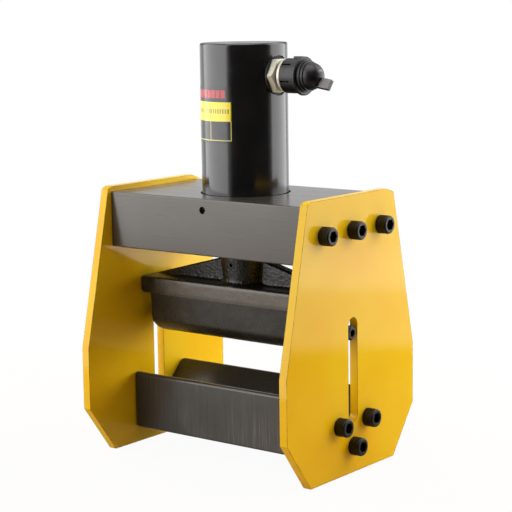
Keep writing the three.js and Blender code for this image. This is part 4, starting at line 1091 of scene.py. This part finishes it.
def label_print():
    material, tree, shader = start_material("label_print", ior=1.5, coat=0.2)
    z = place_along(tree, "Z")
    along = calculate(tree, "SUBTRACT", times(tree, azimuth_round(tree), tube_radius), CELL_RIGHT)
    inside = between(tree, along, -CELLS * CELL_WIDTH - LINE_HALF, LINE_HALF)
    to_line = calculate(tree, "PINGPONG", along, CELL_WIDTH / 2)
    upright = calculate(tree, "LESS_THAN", to_line, LINE_HALF)
    foot = between(tree, z, FRAME_LOW - LINE_HALF, FRAME_LOW + LINE_HALF)
    below_band = between(tree, z, FRAME_LOW - LINE_HALF, BAND_LOW)
    frame_lines = times(tree, calculate(tree, "MAXIMUM", upright, foot), below_band)
    in_band = between(tree, z, BAND_LOW, BAND_HIGH)
    stripe = blocks(tree, along, z, STRIPE_RIGHT, STRIPE_LOW, STRIPE_HIGH, BLOCK_PITCH, BLOCK_GAP)
    ticks = blocks(tree, along, z, -3 * LINE_HALF, TICK_LOW, TICK_HIGH, TICK_PITCH, TICK_GAP)
    colour = mix(tree, times(tree, stripe, STRIPE_INK), grey(0.012), PRINT_RED)
    colour = mix(tree, times(tree, frame_lines, inside), colour, PRINT_PALE)
    colour = mix(tree, times(tree, in_band, inside), colour, PRINT_YELLOW)
    divider = times(tree, times(tree, upright, in_band), inside)
    colour = mix(tree, times(tree, divider, DIVIDER_INK), colour, PRINT_OLIVE)
    colour = mix(tree, times(tree, ticks, TICK_INK), colour, PRINT_BROWN)
    roughness = remap(tree, grain(tree, 8 * MM), 0.3, 0.7, 0.16, 0.26)
    waves = relief(tree, grain(tree, 6 * MM, detail=1.0), 0.01 * MM)
    return end_material(material, shader, colour, roughness, waves)


LABEL_PRINT = label_print()

# %% [markdown]
# A label is printed film, a tenth of a millimetre thick. A flat sheet could be bent round the
# cylinder, but it is simpler to lay a tube over it, delete all but the tube's front faces, and
# let Solidify give them thickness.

# %% Label film
LABEL_LOW, LABEL_HIGH = 292.8 * MM, 343 * MM
LABEL_RIGHT, LABEL_LEFT = math.radians(22.5), math.radians(-85)
FILM, FILM_OUTSIDE = 0.1 * MM, 0.16 * MM


def label():
    bpy.ops.object.select_all(action="DESELECT")
    bpy.ops.mesh.primitive_cylinder_add(
        vertices=240, radius=tube_radius + FILM_OUTSIDE, depth=LABEL_HIGH - LABEL_LOW,
        end_fill_type="NOTHING", location=(0, 0, (LABEL_LOW + LABEL_HIGH) / 2),
    )
    film = call("label_film")
    bpy.ops.object.transform_apply(location=True)
    bpy.ops.object.mode_set(mode="EDIT")

    def off_label(face):
        centre = face.calc_center_median()
        return not LABEL_LEFT < math.atan2(centre.x, -centre.y) < LABEL_RIGHT

    pick(film, "FACE", off_label)
    bpy.ops.mesh.delete(type="FACE")
    bpy.ops.object.mode_set(mode="OBJECT")
    choose(film)
    wall = film.modifiers.new("film", "SOLIDIFY")
    wall.thickness = FILM
    bpy.ops.object.modifier_apply(modifier=wall.name)
    settle(film)
    dress(film, LABEL_PRINT)
    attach(film, "frame")
    return film


label_film = label()
print(f"label {len(label_film.data.polygons)} faces")

# %% [markdown]
# Inside the cylinder's foot, a bronze gland guides the rod, with a rubber wiper below it. The
# chromed rod shows under the head block, and more of it as the punch comes down. Rings and
# grooves could be cut one by one, but all three pieces are lathe work, so each is a spun section.

# %% Rod, gland and wiper
ROD_RADIUS, SPIGOT_RADIUS, ROD_THREAD_RADIUS = 19 * MM, 15 * MM, 11 * MM
DETENT_DEPTH, DETENT_HALF, SMALL_CHAMFER = 1.4 * MM, 3.2 * MM, 1.2 * MM
GLAND_HOLE, GLAND_RADIUS, WIPER_WIDTH, WIPER_DEPTH = 19.3 * MM, 29.7 * MM, 4 * MM, 3.2 * MM
SEAL_LOW, SEAL_HIGH, SEAL_DEPTH = 9.5 * MM, 15.5 * MM, 4.2 * MM
KEY_HOLE_RADIUS, KEY_HOLE_DEPTH, KEY_HOLE_SHARE = 2.3 * MM, 5 * MM, 0.62
ROD_ROUND, WIPER_ROUND = 0.3 * MM, 0.15 * MM


def piston_rod():
    low, high = (corner.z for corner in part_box("piston_rod"))
    screw = middle("punch_set_screw").z
    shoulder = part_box("upper_punch")[1].z + WASHER_GAP
    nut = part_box("piston")[0].z - WASHER_GAP
    floor = SPIGOT_RADIUS - DETENT_DEPTH
    rod = turned("rod_chromed", [
        (0, low), (SPIGOT_RADIUS - SMALL_CHAMFER, low), (SPIGOT_RADIUS, low + SMALL_CHAMFER),
        (SPIGOT_RADIUS, screw - DETENT_HALF - DETENT_DEPTH), (floor, screw - DETENT_HALF),
        (floor, screw + DETENT_HALF), (SPIGOT_RADIUS, screw + DETENT_HALF + DETENT_DEPTH),
        (SPIGOT_RADIUS, shoulder), (ROD_RADIUS, shoulder), (ROD_RADIUS, nut), (ROD_THREAD_RADIUS, nut),
        (ROD_THREAD_RADIUS, high - MM), (ROD_THREAD_RADIUS - MM, high), (0, high),
    ])
    return install(settle(round_edges(rod, ROD_ROUND, 2, 50)), "piston_rod")


def gland_bush():
    low, high = (corner.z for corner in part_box("gland_bush"))
    groove, seat = GLAND_HOLE + SEAL_DEPTH, GLAND_HOLE + WIPER_DEPTH
    gland = turned("gland_bronze", closed([
        (seat, low), (GLAND_RADIUS - FOOT_CHAMFER, low), (GLAND_RADIUS, low + FOOT_CHAMFER),
        (GLAND_RADIUS, high), (GLAND_HOLE, high), (GLAND_HOLE, low + SEAL_HIGH),
        (groove, low + SEAL_HIGH), (groove, low + SEAL_LOW), (GLAND_HOLE, low + SEAL_LOW),
        (GLAND_HOLE, low + WIPER_WIDTH), (seat, low + WIPER_WIDTH),
    ]))
    hole_x = seat + (GLAND_RADIUS - seat) * KEY_HOLE_SHARE
    for x in (-hole_x, hole_x):
        shape_with(gland, drill(KEY_HOLE_RADIUS, (x, 0, low - PAST), (x, 0, low + KEY_HOLE_DEPTH), 24))
    return install(settle(gland), "gland_bush")


def rod_wiper():
    low, high = (corner.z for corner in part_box("rod_wiper"))
    outside = GLAND_HOLE + WIPER_DEPTH - BORE_GAP
    wiper = turned("wiper_rubber", closed([
        (GLAND_HOLE, low), (GLAND_HOLE + WIPER_DEPTH / 3, low), (outside, low + 2 * BORE_GAP),
        (outside, high), (GLAND_HOLE, high),
    ]))
    return install(settle(round_edges(wiper, WIPER_ROUND, 2, 25)), "rod_wiper")


piston_rod()
gland_bush()
rod_wiper()

# %% [markdown]
# The punch is one sand casting: a flange, two webs that fall from the boss to the flange's ends,
# a boss that flares into the flange, and the bending bar with its shallow round nose. Sculpting
# it whole would lose its sizes. So it starts as four exact blocks, as a pattern maker would
# glue up a wooden pattern, and they overlap so that they can be joined.

# %% Blocks of the punch
FLANGE_HALF, FLANGE_CORNER, FLANGE_EDGE = 27 * MM, 4 * MM, 2.4 * MM
BAR_INSET, BAR_LIP, BAR_DRAFT = 12.6 * MM, 0.4 * MM, 1.6 * MM
FLANGE_LOW_RISE, FLANGE_THICKNESS, NOSE_SAGITTA = 38.7 * MM, 16 * MM, 13.1 * MM
BOSS_SETBACK, BOSS_CHAMFER = 2.4 * MM, 1.5 * MM
WEB_THICKNESS, WEB_HEIGHT = 12 * MM, 22.2 * MM
BAR_ROUND, WEB_ROUND = 0.6 * MM, 1.6 * MM

punch_low, punch_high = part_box("upper_punch")
flange_low = punch_low.z + FLANGE_LOW_RISE
flange_top = flange_low + FLANGE_THICKNESS
boss_radius = FLANGE_HALF - BOSS_SETBACK
bar_half = FLANGE_HALF - BAR_LIP
nose_half = bar_half - BAR_DRAFT
nose_radius = (nose_half ** 2 + NOSE_SAGITTA ** 2) / (2 * NOSE_SAGITTA)


def flange():
    """The flange: a block with its upright corners rounded first and its rims after."""
    size = (2 * punch_high.x, 2 * FLANGE_HALF, FLANGE_THICKNESS)
    piece = add_block("punch_cast", size, (0, 0, (flange_low + flange_top) / 2))
    bpy.ops.object.mode_set(mode="EDIT")
    pick(piece, "EDGE", lambda e: abs(e.verts[0].co.z - e.verts[1].co.z) > MM)
    bpy.ops.mesh.bevel(offset=FLANGE_CORNER, segments=5)
    bpy.ops.object.mode_set(mode="OBJECT")
    return round_edges(piece, FLANGE_EDGE, 4, 50)


def bending_bar():
    """The bar's end outline has sides with draft and one shallow arc below."""
    half_angle = math.degrees(math.asin(nose_half / nose_radius))
    nose = arc((0, punch_low.z + nose_radius), nose_radius, -90 - half_angle, -90 + half_angle, 24)
    top = (flange_low + flange_top) / 2
    outline = [(bar_half, top), (-bar_half, top), (-bar_half, flange_low), *nose, (bar_half, flange_low)]
    end = punch_high.x - BAR_INSET
    bar = pulled("bar", [(-end, y, z) for y, z in closed(outline)], (2 * end, 0, 0))
    return round_edges(bar, BAR_ROUND, 2, 35)


def webs():
    """Both webs are one upright plate that ends at the flange's ends."""
    end, foot = punch_high.x - FLANGE_EDGE, flange_top - FLANGE_THICKNESS / 2
    top = flange_top + WEB_HEIGHT
    outline = [
        (-end, foot), (end, foot), (end, flange_top), (boss_radius, top), (-boss_radius, top),
        (-end, flange_top),
    ]
    plate = pulled("webs", [(x, -WEB_THICKNESS / 2, z) for x, z in closed(outline)], (0, WEB_THICKNESS, 0))
    return round_edges(plate, WEB_ROUND, 3, 20)


def boss():
    flare = BOSS_SETBACK
    foot = arc((boss_radius + flare, flange_top + 2 * flare), 2 * flare, 240, 180, 6)
    top = punch_high.z
    return turned("boss", [
        (0, flange_low + FLANGE_EDGE), (boss_radius + flare / 2, flange_low + FLANGE_EDGE),
        (boss_radius + flare / 2, flange_top), *foot, (boss_radius, top - BOSS_CHAMFER),
        (boss_radius - BOSS_CHAMFER, top), (0, top),
    ], steps=72)


print(f"the bar's nose is an arc of {nose_radius / MM:.1f} mm radius")

# %% [markdown]
# Joined blocks look welded, and a bevel can't follow where four shapes run into each other. So
# Remesh covers the whole in an even net that a little smoothing can melt: inner corners fill as
# cast fillets do, outer ones go soft. Displace adds the slow unevenness of a sand mould.

# %% Casting
CAST_VOXEL, CAST_SMOOTHING = 1.05 * MM, 2
CAST_WAVINESS, LUMP_SIZE = 0.3 * MM, 9 * MM


def melt(piece):
    """Gives a joined block the soft corners and the slow waviness of a casting."""
    choose(piece)
    net = piece.modifiers.new("net", "REMESH")
    net.mode, net.voxel_size, net.use_smooth_shade = "VOXEL", CAST_VOXEL, True
    bpy.ops.object.modifier_apply(modifier=net.name)
    soft = piece.modifiers.new("soft", "SMOOTH")
    soft.factor, soft.iterations = 0.5, CAST_SMOOTHING
    bpy.ops.object.modifier_apply(modifier=soft.name)
    clouds = bpy.data.textures.new("sand_mould", "CLOUDS")
    clouds.noise_scale = LUMP_SIZE
    waves = piece.modifiers.new("waves", "DISPLACE")
    waves.texture, waves.strength, waves.texture_coords = clouds, CAST_WAVINESS, "LOCAL"
    bpy.ops.object.modifier_apply(modifier=waves.name)
    return piece


def cast_punch():
    """The four blocks joined and melted into one."""
    punch = flange()
    for block in (bending_bar(), webs(), boss()):
        shape_with(punch, block, "UNION")
    return melt(punch)


casting = cast_punch()
print(f"{casting.name}: {len(casting.data.polygons)} faces before drilling")

# %% [markdown]
# The holes in a casting are machined after it has cooled, so they are crisp where the skin is
# soft. Drilled before the melting, they would have gone soft too. The rod's socket opens
# upwards, the set screw's hole comes in from the front with a slightly wider mouth, and one
# hole in each end of the bar takes a guide screw.

# %% Holes of the punch
SOCKET_RADIUS, SOCKET_FLOOR = 15.3 * MM, 4 * MM
SCREW_HOLE_RADIUS, SCREW_HOLE_RUN_OUT = 4.3 * MM, 3 * MM
HOLE_MOUTH_RADIUS, HOLE_MOUTH_DEPTH = 5 * MM, 0.7 * MM


def drilled(punch):
    """The socket, the set screw's hole with its mouth, and the two guide screws' holes."""
    past_top = punch_high.z + PAST
    shape_with(punch, drill(SOCKET_RADIUS, (0, 0, flange_top + SOCKET_FLOOR), (0, 0, past_top), 64))
    z, before = middle("punch_set_screw").z, -boss_radius - PAST
    shape_with(punch, drill(SCREW_HOLE_RADIUS, (0, before, z), (0, -SOCKET_RADIUS + PAST, z), 32))
    shape_with(punch, drill(HOLE_MOUTH_RADIUS, (0, before, z), (0, -boss_radius + HOLE_MOUTH_DEPTH, z), 32))
    end = punch_high.x - BAR_INSET
    for way in (-1, 1):
        start = (way * (end - GUIDE_THREAD - SCREW_HOLE_RUN_OUT), 0, guide_z)
        shape_with(punch, drill(SCREW_HOLE_RADIUS, start, (way * (end + PAST), 0, guide_z), 32))
    choose(punch)
    bpy.ops.object.shade_smooth_by_angle(angle=math.radians(50))
    return punch


install(drilled(casting), "upper_punch")

# %% [markdown]
# Two springs hide inside: one lifts the punch again, one shuts the coupler's valve. A spring is
# round wire wound in a helix. A curve with a round section would do it, but here a small circle
# is the wire's section, and the Screw modifier turns it round an axis while it climbs.

# %% Springs
RETURN_WIRE, RETURN_TURNS, VALVE_WIRE, VALVE_TURNS = 4 * MM, 9, 0.8 * MM, 3
WIRE_SIDES, STEPS_PER_TURN = 12, 32


def coil_spring(name, node, wire, turns, way):
    """Wire wound to a solid's length and width. way is 0 for a spring along X, 2 for one along Z."""
    low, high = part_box(node)
    size = high - low
    bpy.ops.object.select_all(action="DESELECT")
    bpy.ops.mesh.primitive_circle_add(
        vertices=WIRE_SIDES, radius=wire / 2,
        location=((size.y - wire) / 2, 0, 0), rotation=(math.pi / 2, 0, 0),
    )
    spring = call(name)
    bpy.ops.object.transform_apply(location=True, rotation=True, scale=True)
    winding = spring.modifiers.new("winding", "SCREW")
    winding.iterations, winding.screw_offset = turns, (size[way] - wire) / turns
    winding.steps = winding.render_steps = STEPS_PER_TURN
    bpy.ops.object.modifier_apply(modifier=winding.name)
    bpy.ops.object.mode_set(mode="EDIT")
    bpy.ops.mesh.select_all(action="SELECT")
    bpy.ops.mesh.fill_holes(sides=0)
    bpy.ops.mesh.normals_make_consistent(inside=False)
    bpy.ops.object.mode_set(mode="OBJECT")
    foot = middle(node)
    foot[way] = low[way] + wire / 2
    turn = Matrix.Rotation(math.pi / 2, 4, "Y") if way == 0 else Matrix.Identity(4)
    spring.matrix_world = Matrix.Translation(foot) @ turn
    bpy.ops.object.transform_apply(location=True, rotation=True, scale=True)
    install(settle(spring), node)
    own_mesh(spring)


coil_spring("spring_return", "return_spring", RETURN_WIRE, RETURN_TURNS, 2)
coil_spring("spring_valve", "coupler_valve_spring", VALVE_WIRE, VALVE_TURNS, 0)

# %% [markdown]
# The coupling is where the oil hose plugs in. A nut is a hexagon bar with its corners turned off
# on a lathe. A plain bevel would cut straight across each corner. So the hexagon is intersected
# with a turned blank that ends in a cone, and that gives the curved chamfer that makes a nut
# look like a nut. Behind it lies a rubber washer that seals the port.

# %% Washer and nipple
HEX_HALF, HEX_LENGTH, HEX_CHAMFER = 14.7 * MM, 7.2 * MM, 2.6 * MM
NIPPLE_BORE, SPIGOT, PORT_THREAD = 3.5 * MM, 10 * MM, 8.2 * MM
WASHER_ROUND = 0.5 * MM

hex_x = washer_high.x + WASHER_GAP
on_port = (0, 0, port.z)


def port_washer():
    inner = PORT_RADIUS
    washer = turned("washer_rubber", closed([
        (inner, washer_low.x), (washer_high.y, washer_low.x),
        (washer_high.y, washer_high.x), (inner, washer_high.x),
    ]), "X", on_port)
    return install(settle(round_edges(washer, WASHER_ROUND, 3, 50)), "port_seal_washer")


def coupler_nipple():
    low, high = (corner.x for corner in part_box("coupler_nipple"))
    front = hex_x + HEX_LENGTH
    corner = HEX_HALF * HEX_CORNER
    turned_off = HEX_CHAMFER * math.sqrt(3)
    nut = drill(corner, (hex_x, 0, port.z), (front, 0, port.z), 6, math.radians(30))
    nut.name = nut.data.name = "nipple_hexagon"
    blank = turned("blank", [
        (0, hex_x), (corner, hex_x), (corner, front - HEX_CHAMFER), (corner - turned_off, front), (0, front),
    ], "X", on_port, 144)
    shape_with(nut, blank, "INTERSECT")
    core = turned("core", [
        (0, low), (PORT_THREAD - MM, low), (PORT_THREAD, low + MM), (PORT_THREAD, hex_x + HEX_CHAMFER),
        (SPIGOT, hex_x + HEX_CHAMFER), (SPIGOT, high), (0, high),
    ], "X", on_port, 72)
    shape_with(nut, core, "UNION")
    shape_with(nut, drill(NIPPLE_BORE, (low - PAST, 0, port.z), (high + PAST, 0, port.z), 48))
    return install(settle(round_edges(nut, TURNED_ROUND, 2, 28), 25), "coupler_nipple")


port_washer()
coupler_nipple()

# %% [markdown]
# The hose's other half screws onto the barrel. A real thread climbs as it turns, but under the
# cap nobody can see that, so it is a row of plain ridges in the spun section. Inside sits the
# poppet, a small plug with a cone that shuts the way for the oil until another coupling
# presses it in.

# %% Barrel and poppet
COLLAR_RADIUS, COLLAR_WIDTH, BARREL_RADIUS, BARREL_CHAMFER = 15.3 * MM, 2.5 * MM, 13 * MM, 1.2 * MM
CHAMBER_RADIUS, SEAT_RADIUS, SEAT_LAND = 8.5 * MM, 5.2 * MM, 2 * MM
THREAD_PITCH, THREAD_DEPTH, THREADS = 1.5 * MM, 0.7 * MM, 7
THREAD_RUN_OUT, BARREL_ROUND = 1.5 * MM, 0.2 * MM
POPPET_GAP, POPPET_CONE = 0.6 * MM, 2.4 * MM


def coupler_barrel():
    low, high = (corner.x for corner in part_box("coupler_barrel"))
    seat = high - SEAT_LAND
    spigot_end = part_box("coupler_nipple")[1].x + WASHER_GAP
    collar_end = low + COLLAR_WIDTH
    thread = []
    for turn in range(THREADS):
        start = collar_end + THREAD_RUN_OUT + turn * THREAD_PITCH
        thread += [(BARREL_RADIUS, start), (BARREL_RADIUS - THREAD_DEPTH, start + THREAD_PITCH / 2)]
    barrel = turned("barrel_threaded", closed([
        (SPIGOT + BORE_GAP, low), (COLLAR_RADIUS, low), (COLLAR_RADIUS, collar_end),
        (BARREL_RADIUS - THREAD_DEPTH, collar_end), *thread, (BARREL_RADIUS, high - BARREL_CHAMFER),
        (BARREL_RADIUS - BARREL_CHAMFER, high), (SEAT_RADIUS, high), (SEAT_RADIUS, seat),
        (CHAMBER_RADIUS, seat - (CHAMBER_RADIUS - SEAT_RADIUS)), (CHAMBER_RADIUS, spigot_end),
        (SPIGOT + BORE_GAP, spigot_end),
    ]), "X", on_port)
    return install(settle(round_edges(barrel, BARREL_ROUND, 2, 30), 25), "coupler_barrel")


def coupler_poppet():
    low, high = (corner.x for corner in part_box("coupler_poppet"))
    head, nose = CHAMBER_RADIUS - POPPET_GAP, SEAT_RADIUS - POPPET_GAP
    cone_start, cone_end = low + POPPET_CONE, low + 2 * POPPET_CONE
    poppet = turned("poppet_plated", [
        (0, low), (head, low), (head, cone_start), (head - POPPET_CONE, cone_end), (nose, cone_end),
        (nose, high), (0, high),
    ], "X", on_port)
    return install(settle(round_edges(poppet, BARREL_ROUND, 2, 30), 25), "coupler_poppet")


coupler_barrel()
coupler_poppet()

# %% [markdown]
# The dust cap is moulded in one piece: a skirt, a flange to pull at, two steps and a dome. A
# stack of cylinders would need joining at every step. As one section, spun round, it has the
# even wall that a moulding needs.

# %% Shell of the dust cap
SKIRT_RADIUS, SKIRT_LENGTH, CAP_BORE = 15.5 * MM, 14.9 * MM, 13.3 * MM
CAP_FLANGE, CAP_FLANGE_THICKNESS, CAP_FLANGE_ROUND = 17.2 * MM, 3.5 * MM, 0.9 * MM
STEP_ONE, STEP_ONE_LENGTH, STEP_TWO, STEP_TWO_LENGTH = 14.5 * MM, 2.8 * MM, 13.4 * MM, 2.6 * MM
DOME_RADIUS, CAP_ROOF = 12.3 * MM, 2.2 * MM

skirt_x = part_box("dust_cap")[0].x
skirt_tip = skirt_x + SKIRT_LENGTH
dome_x = skirt_tip + CAP_FLANGE_THICKNESS + STEP_ONE_LENGTH + STEP_TWO_LENGTH


def cap_shell():
    flange_end = skirt_tip + CAP_FLANGE_THICKNESS
    step_end = flange_end + STEP_ONE_LENGTH
    inner_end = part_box("coupler_barrel")[1].x + 2 * BORE_GAP
    roof = inner_end + CAP_ROOF
    dome = [(radius, x) for x, radius in arc((dome_x, 0), DOME_RADIUS, 90, 0, 18)]
    dome[-1] = (0, dome[-1][1])
    return turned("cap_moulded", closed([
        (CAP_BORE, skirt_x), (SKIRT_RADIUS, skirt_x), (SKIRT_RADIUS, skirt_tip),
        (CAP_FLANGE - CAP_FLANGE_ROUND, skirt_tip), (CAP_FLANGE, skirt_tip + CAP_FLANGE_ROUND),
        (CAP_FLANGE, flange_end - CAP_FLANGE_ROUND), (CAP_FLANGE - CAP_FLANGE_ROUND, flange_end),
        (STEP_ONE, flange_end), (STEP_ONE, step_end), (STEP_TWO, step_end), (STEP_TWO, dome_x),
        *dome, (0, roof), (CAP_BORE - CAP_ROOF, roof), (CAP_BORE, inner_end),
    ]), "X", on_port, 120)


cap = cap_shell()
print(f"{cap.name}: {len(cap.data.polygons)} faces before its slits")

# %% [markdown]
# Six slits let the skirt spring over the barrel, and a small lug and a flat tongue give the
# fingers a hold. The slits are cut by thin blades set round the axis. The lug and the tongue are
# blocks joined to the shell. Modelled upright and left so, the tongue would look stiff, so it
# leans back and droops a little, as soft plastic does.

# %% Slits, lug and tongue
SLIT_WIDTH, SLIT_LENGTH, SLITS, SLIT_TURN = 1.7 * MM, 10.4 * MM, 6, math.radians(-17)
BLADE_HEIGHT, CAP_ROUND = 6 * MM, 0.3 * MM
LUG, LUG_SINK, LUG_ROUND = (9 * MM, 4 * MM, 2.9 * MM), 1.4 * MM, 0.4 * MM
TAB_WIDTH, TAB_LENGTH, TAB_THICKNESS, TAB_ROOT = 9.6 * MM, 17 * MM, 4.4 * MM, 5 * MM
TAB_DROP, TAB_LEAN, TAB_DROOP = 5.7 * MM, math.radians(28), math.radians(9)
TAB_ROUND = 0.5 * MM


def cut_slits(cap):
    length = SLIT_LENGTH + PAST
    for i in range(SLITS):
        turn = SLIT_TURN + i * 2 * math.pi / SLITS
        blade = add_block("blade", (length, BLADE_HEIGHT, SLIT_WIDTH), (0, 0, 0))
        out = Vector((0, -math.cos(turn), math.sin(turn))) * SKIRT_RADIUS
        place = Matrix.Translation(Vector((skirt_x - PAST + length / 2, 0, port.z)) + out)
        blade.matrix_world = place @ Matrix.Rotation(-turn, 4, "X")
        shape_with(cap, blade)
    return cap


def pull_tab():
    """The tongue: a block with rounded corners that leans back and droops a little."""
    middle_x = TAB_LENGTH / 2 - TAB_ROOT
    tab = add_block("tab", (TAB_LENGTH, TAB_THICKNESS, TAB_WIDTH), (middle_x, 0, 0))
    round_edges(tab, TAB_ROUND, 2)
    lean, droop = Matrix.Rotation(-TAB_LEAN, 4, "X"), Matrix.Rotation(TAB_DROOP, 4, "Y")
    place = Matrix.Translation((dome_x + DOME_RADIUS - TAB_ROOT / 2, 0, port.z - TAB_DROP))
    tab.matrix_world = place @ droop @ lean
    bpy.ops.object.transform_apply(location=True, rotation=True, scale=True)
    return tab


def dust_cap():
    """Slits first, then the shell's edges are rounded, then the lug and the tongue are joined."""
    round_edges(cut_slits(cap), CAP_ROUND, 2, 35)
    lug_place = (skirt_tip - LUG[0] / 2 + CAP_FLANGE_ROUND, 0, port.z + CAP_FLANGE - LUG_SINK)
    shape_with(cap, round_edges(add_block("lug", LUG, lug_place), LUG_ROUND, 2), "UNION")
    shape_with(cap, pull_tab(), "UNION")
    return install(settle(cap, 35), "dust_cap")


dust_cap()

# %% [markdown]
# The floor is a plain white sweep. Under the object it is a real surface that takes the shadow
# and throws light back up. A white plane alone would turn grey towards the back. So further out
# it gives off even white light, but only to the camera and to reflections, never to the object
# itself. Gloss sees it a little differently: dark close by, with two bright pools in front of
# the softboxes.

# %% Floor
FLOOR_SIZE, FLOOR_COLOUR, FLOOR_ROUGHNESS = 12.0, (0.55, 0.44, 0.30, 1), 0.9
SHADOW_NEAR, SHADOW_FAR = 0.28, 0.6
MIRRORED_NEAR, MIRRORED_DARK, MIRRORED_FAR, MIRRORED_WHITE = 0.35, 0.56, 1.0, 1.4
WHITE_NEAR, GLOW_NEAR, GLOW_DARK, GLOW_FAR = 0.955, 0.35, 0.05, 0.9
POOLS = (
    # azimuth from, azimuth to, where it begins, where it is full, light
    (math.radians(105), math.radians(190), 0.57, 0.63, 2.2),
    (math.radians(280), math.radians(360), 0.15, 0.40, 1.0),
)
WHITE = (1, 1, 1, 1)


def seen_directly(tree):
    """1 for camera, glossy and transmitted rays, 0 for light that falls on the object."""
    path = add_node(tree, "LightPath")
    seen = calculate(tree, "MAXIMUM", path.outputs["Is Camera Ray"], path.outputs["Is Glossy Ray"])
    return calculate(tree, "MAXIMUM", seen, path.outputs["Is Transmission Ray"])


def output_of(tree):
    return tree.nodes["Material Output"].inputs["Surface"]


def pools_of_light(tree, distance):
    """The bright patches that the softboxes make on the floor before them, as gloss mirrors them."""
    azimuth = calculate(tree, "FLOORED_MODULO", azimuth_round(tree), 2 * math.pi)
    light = 0.0
    for left, right, begin, full, strength in POOLS:
        pool = remap(tree, distance, begin, full, 0.0, strength)
        light = calculate(tree, "MULTIPLY_ADD", between(tree, azimuth, left, right), pool, light)
    return times(tree, light, calculate(tree, "LESS_THAN", distance, MIRRORED_WHITE))


def white_floor():
    material, tree, shader = start_material("white_floor")
    shader.inputs["Base Color"].default_value = FLOOR_COLOUR
    shader.inputs["Roughness"].default_value = FLOOR_ROUGHNESS
    distance = add_node(tree, "VectorMath", [(0, object_place(tree))], operation="LENGTH").outputs["Value"]
    to_camera = remap(tree, distance, SHADOW_NEAR, SHADOW_FAR, WHITE_NEAR, 1.0)
    close_by = remap(tree, distance, MIRRORED_NEAR, MIRRORED_DARK, GLOW_NEAR, GLOW_DARK)
    far_off = remap(tree, distance, MIRRORED_FAR, MIRRORED_WHITE, 0.0, GLOW_FAR)
    in_gloss = calculate(tree, "ADD", close_by, far_off)
    in_gloss = calculate(tree, "MAXIMUM", in_gloss, pools_of_light(tree, distance))
    mirrored = add_node(tree, "LightPath").outputs["Is Glossy Ray"]
    strength = choice(tree, mirrored, 1.0, in_gloss)
    glow = add_node(tree, "Emission", [("Color", WHITE), ("Strength", strength)])
    share = times(tree, choice(tree, mirrored, to_camera, 1.0), seen_directly(tree))
    blend = add_node(tree, "MixShader", [(0, share), (1, shader.outputs[0]), (2, glow.outputs[0])])
    tree.links.new(blend.outputs[0], output_of(tree))
    return material


bpy.ops.object.select_all(action="DESELECT")
bpy.ops.mesh.primitive_plane_add(size=FLOOR_SIZE)
floor = call("floor")
dress(floor, white_floor())
print(f"floor {floor.dimensions.x:.0f} m wide")

# %% [markdown]
# What stands round the object gives it its reflections. The world is white where it is seen and
# a dim warm white as the light of the room. The dark screen is cloth, and it thins out at both
# ends: a hard end would show as a line in the cylinder. The backdrop is paper, bright near the
# ground and grey above. A photograph of a real studio could light the scene too, but its parts
# could not be moved one by one.

# %% World, cloth and paper
AMBIENT, WARM_ROOM = 0.2, (1, 0.82, 0.6, 1)
BACKDROP_LOW, BACKDROP_HIGH, BACKDROP_STEP = 0.95, 0.35, (0.38, 0.48)
CLOTH_COLOUR = (0.01, 0.01, 0.01, 1)


def set_world():
    """White where it is seen, and a dimmer white as the light of a room."""
    world = bpy.data.worlds.new("studio")
    bpy.context.scene.world = world
    world.use_nodes = True
    tree = world.node_tree
    back = tree.nodes["Background"]
    seen = seen_directly(tree)
    tree.links.new(mix(tree, seen, WARM_ROOM, WHITE), back.inputs["Color"])
    tree.links.new(remap(tree, seen, 0.0, 1.0, AMBIENT, 1.0), back.inputs["Strength"])


def dark_cloth():
    """Black cloth that thins out at the screen's two ends, so that gloss shows no hard line."""
    material, tree, shader = start_material("dark_cloth")
    shader.inputs["Base Color"].default_value = CLOTH_COLOUR
    shader.inputs["Roughness"].default_value = 1.0
    azimuth = azimuth_round(tree)
    left = remap(tree, azimuth, SCREEN_FROM, SCREEN_FROM + SCREEN_FADE)
    right = remap(tree, azimuth, SCREEN_TO - SCREEN_FADE, SCREEN_TO, 1.0, 0.0)
    share = calculate(tree, "MINIMUM", left, right)
    clear = add_node(tree, "BsdfTransparent")
    blend = add_node(tree, "MixShader", [(0, share), (1, clear.outputs[0]), (2, shader.outputs[0])])
    tree.links.new(blend.outputs[0], output_of(tree))
    return material


def backdrop_paper():
    """Paper behind the object, bright near the ground and grey above. It only shows in gloss."""
    material, tree, _ = start_material("backdrop_paper")
    height = calculate(tree, "ADD", place_along(tree, "Z"), BACKDROP_HEIGHT / 2)
    light = remap(tree, height, *BACKDROP_STEP, BACKDROP_LOW, BACKDROP_HIGH)
    glow = add_node(tree, "Emission", [("Color", WHITE), ("Strength", light)])
    tree.links.new(glow.outputs[0], output_of(tree))
    return material


set_world()
dress(dark_screen, dark_cloth())
dress(backdrop, backdrop_paper())
bpy.context.scene.view_settings.view_transform = "Standard"
print("world, cloth and paper are set")
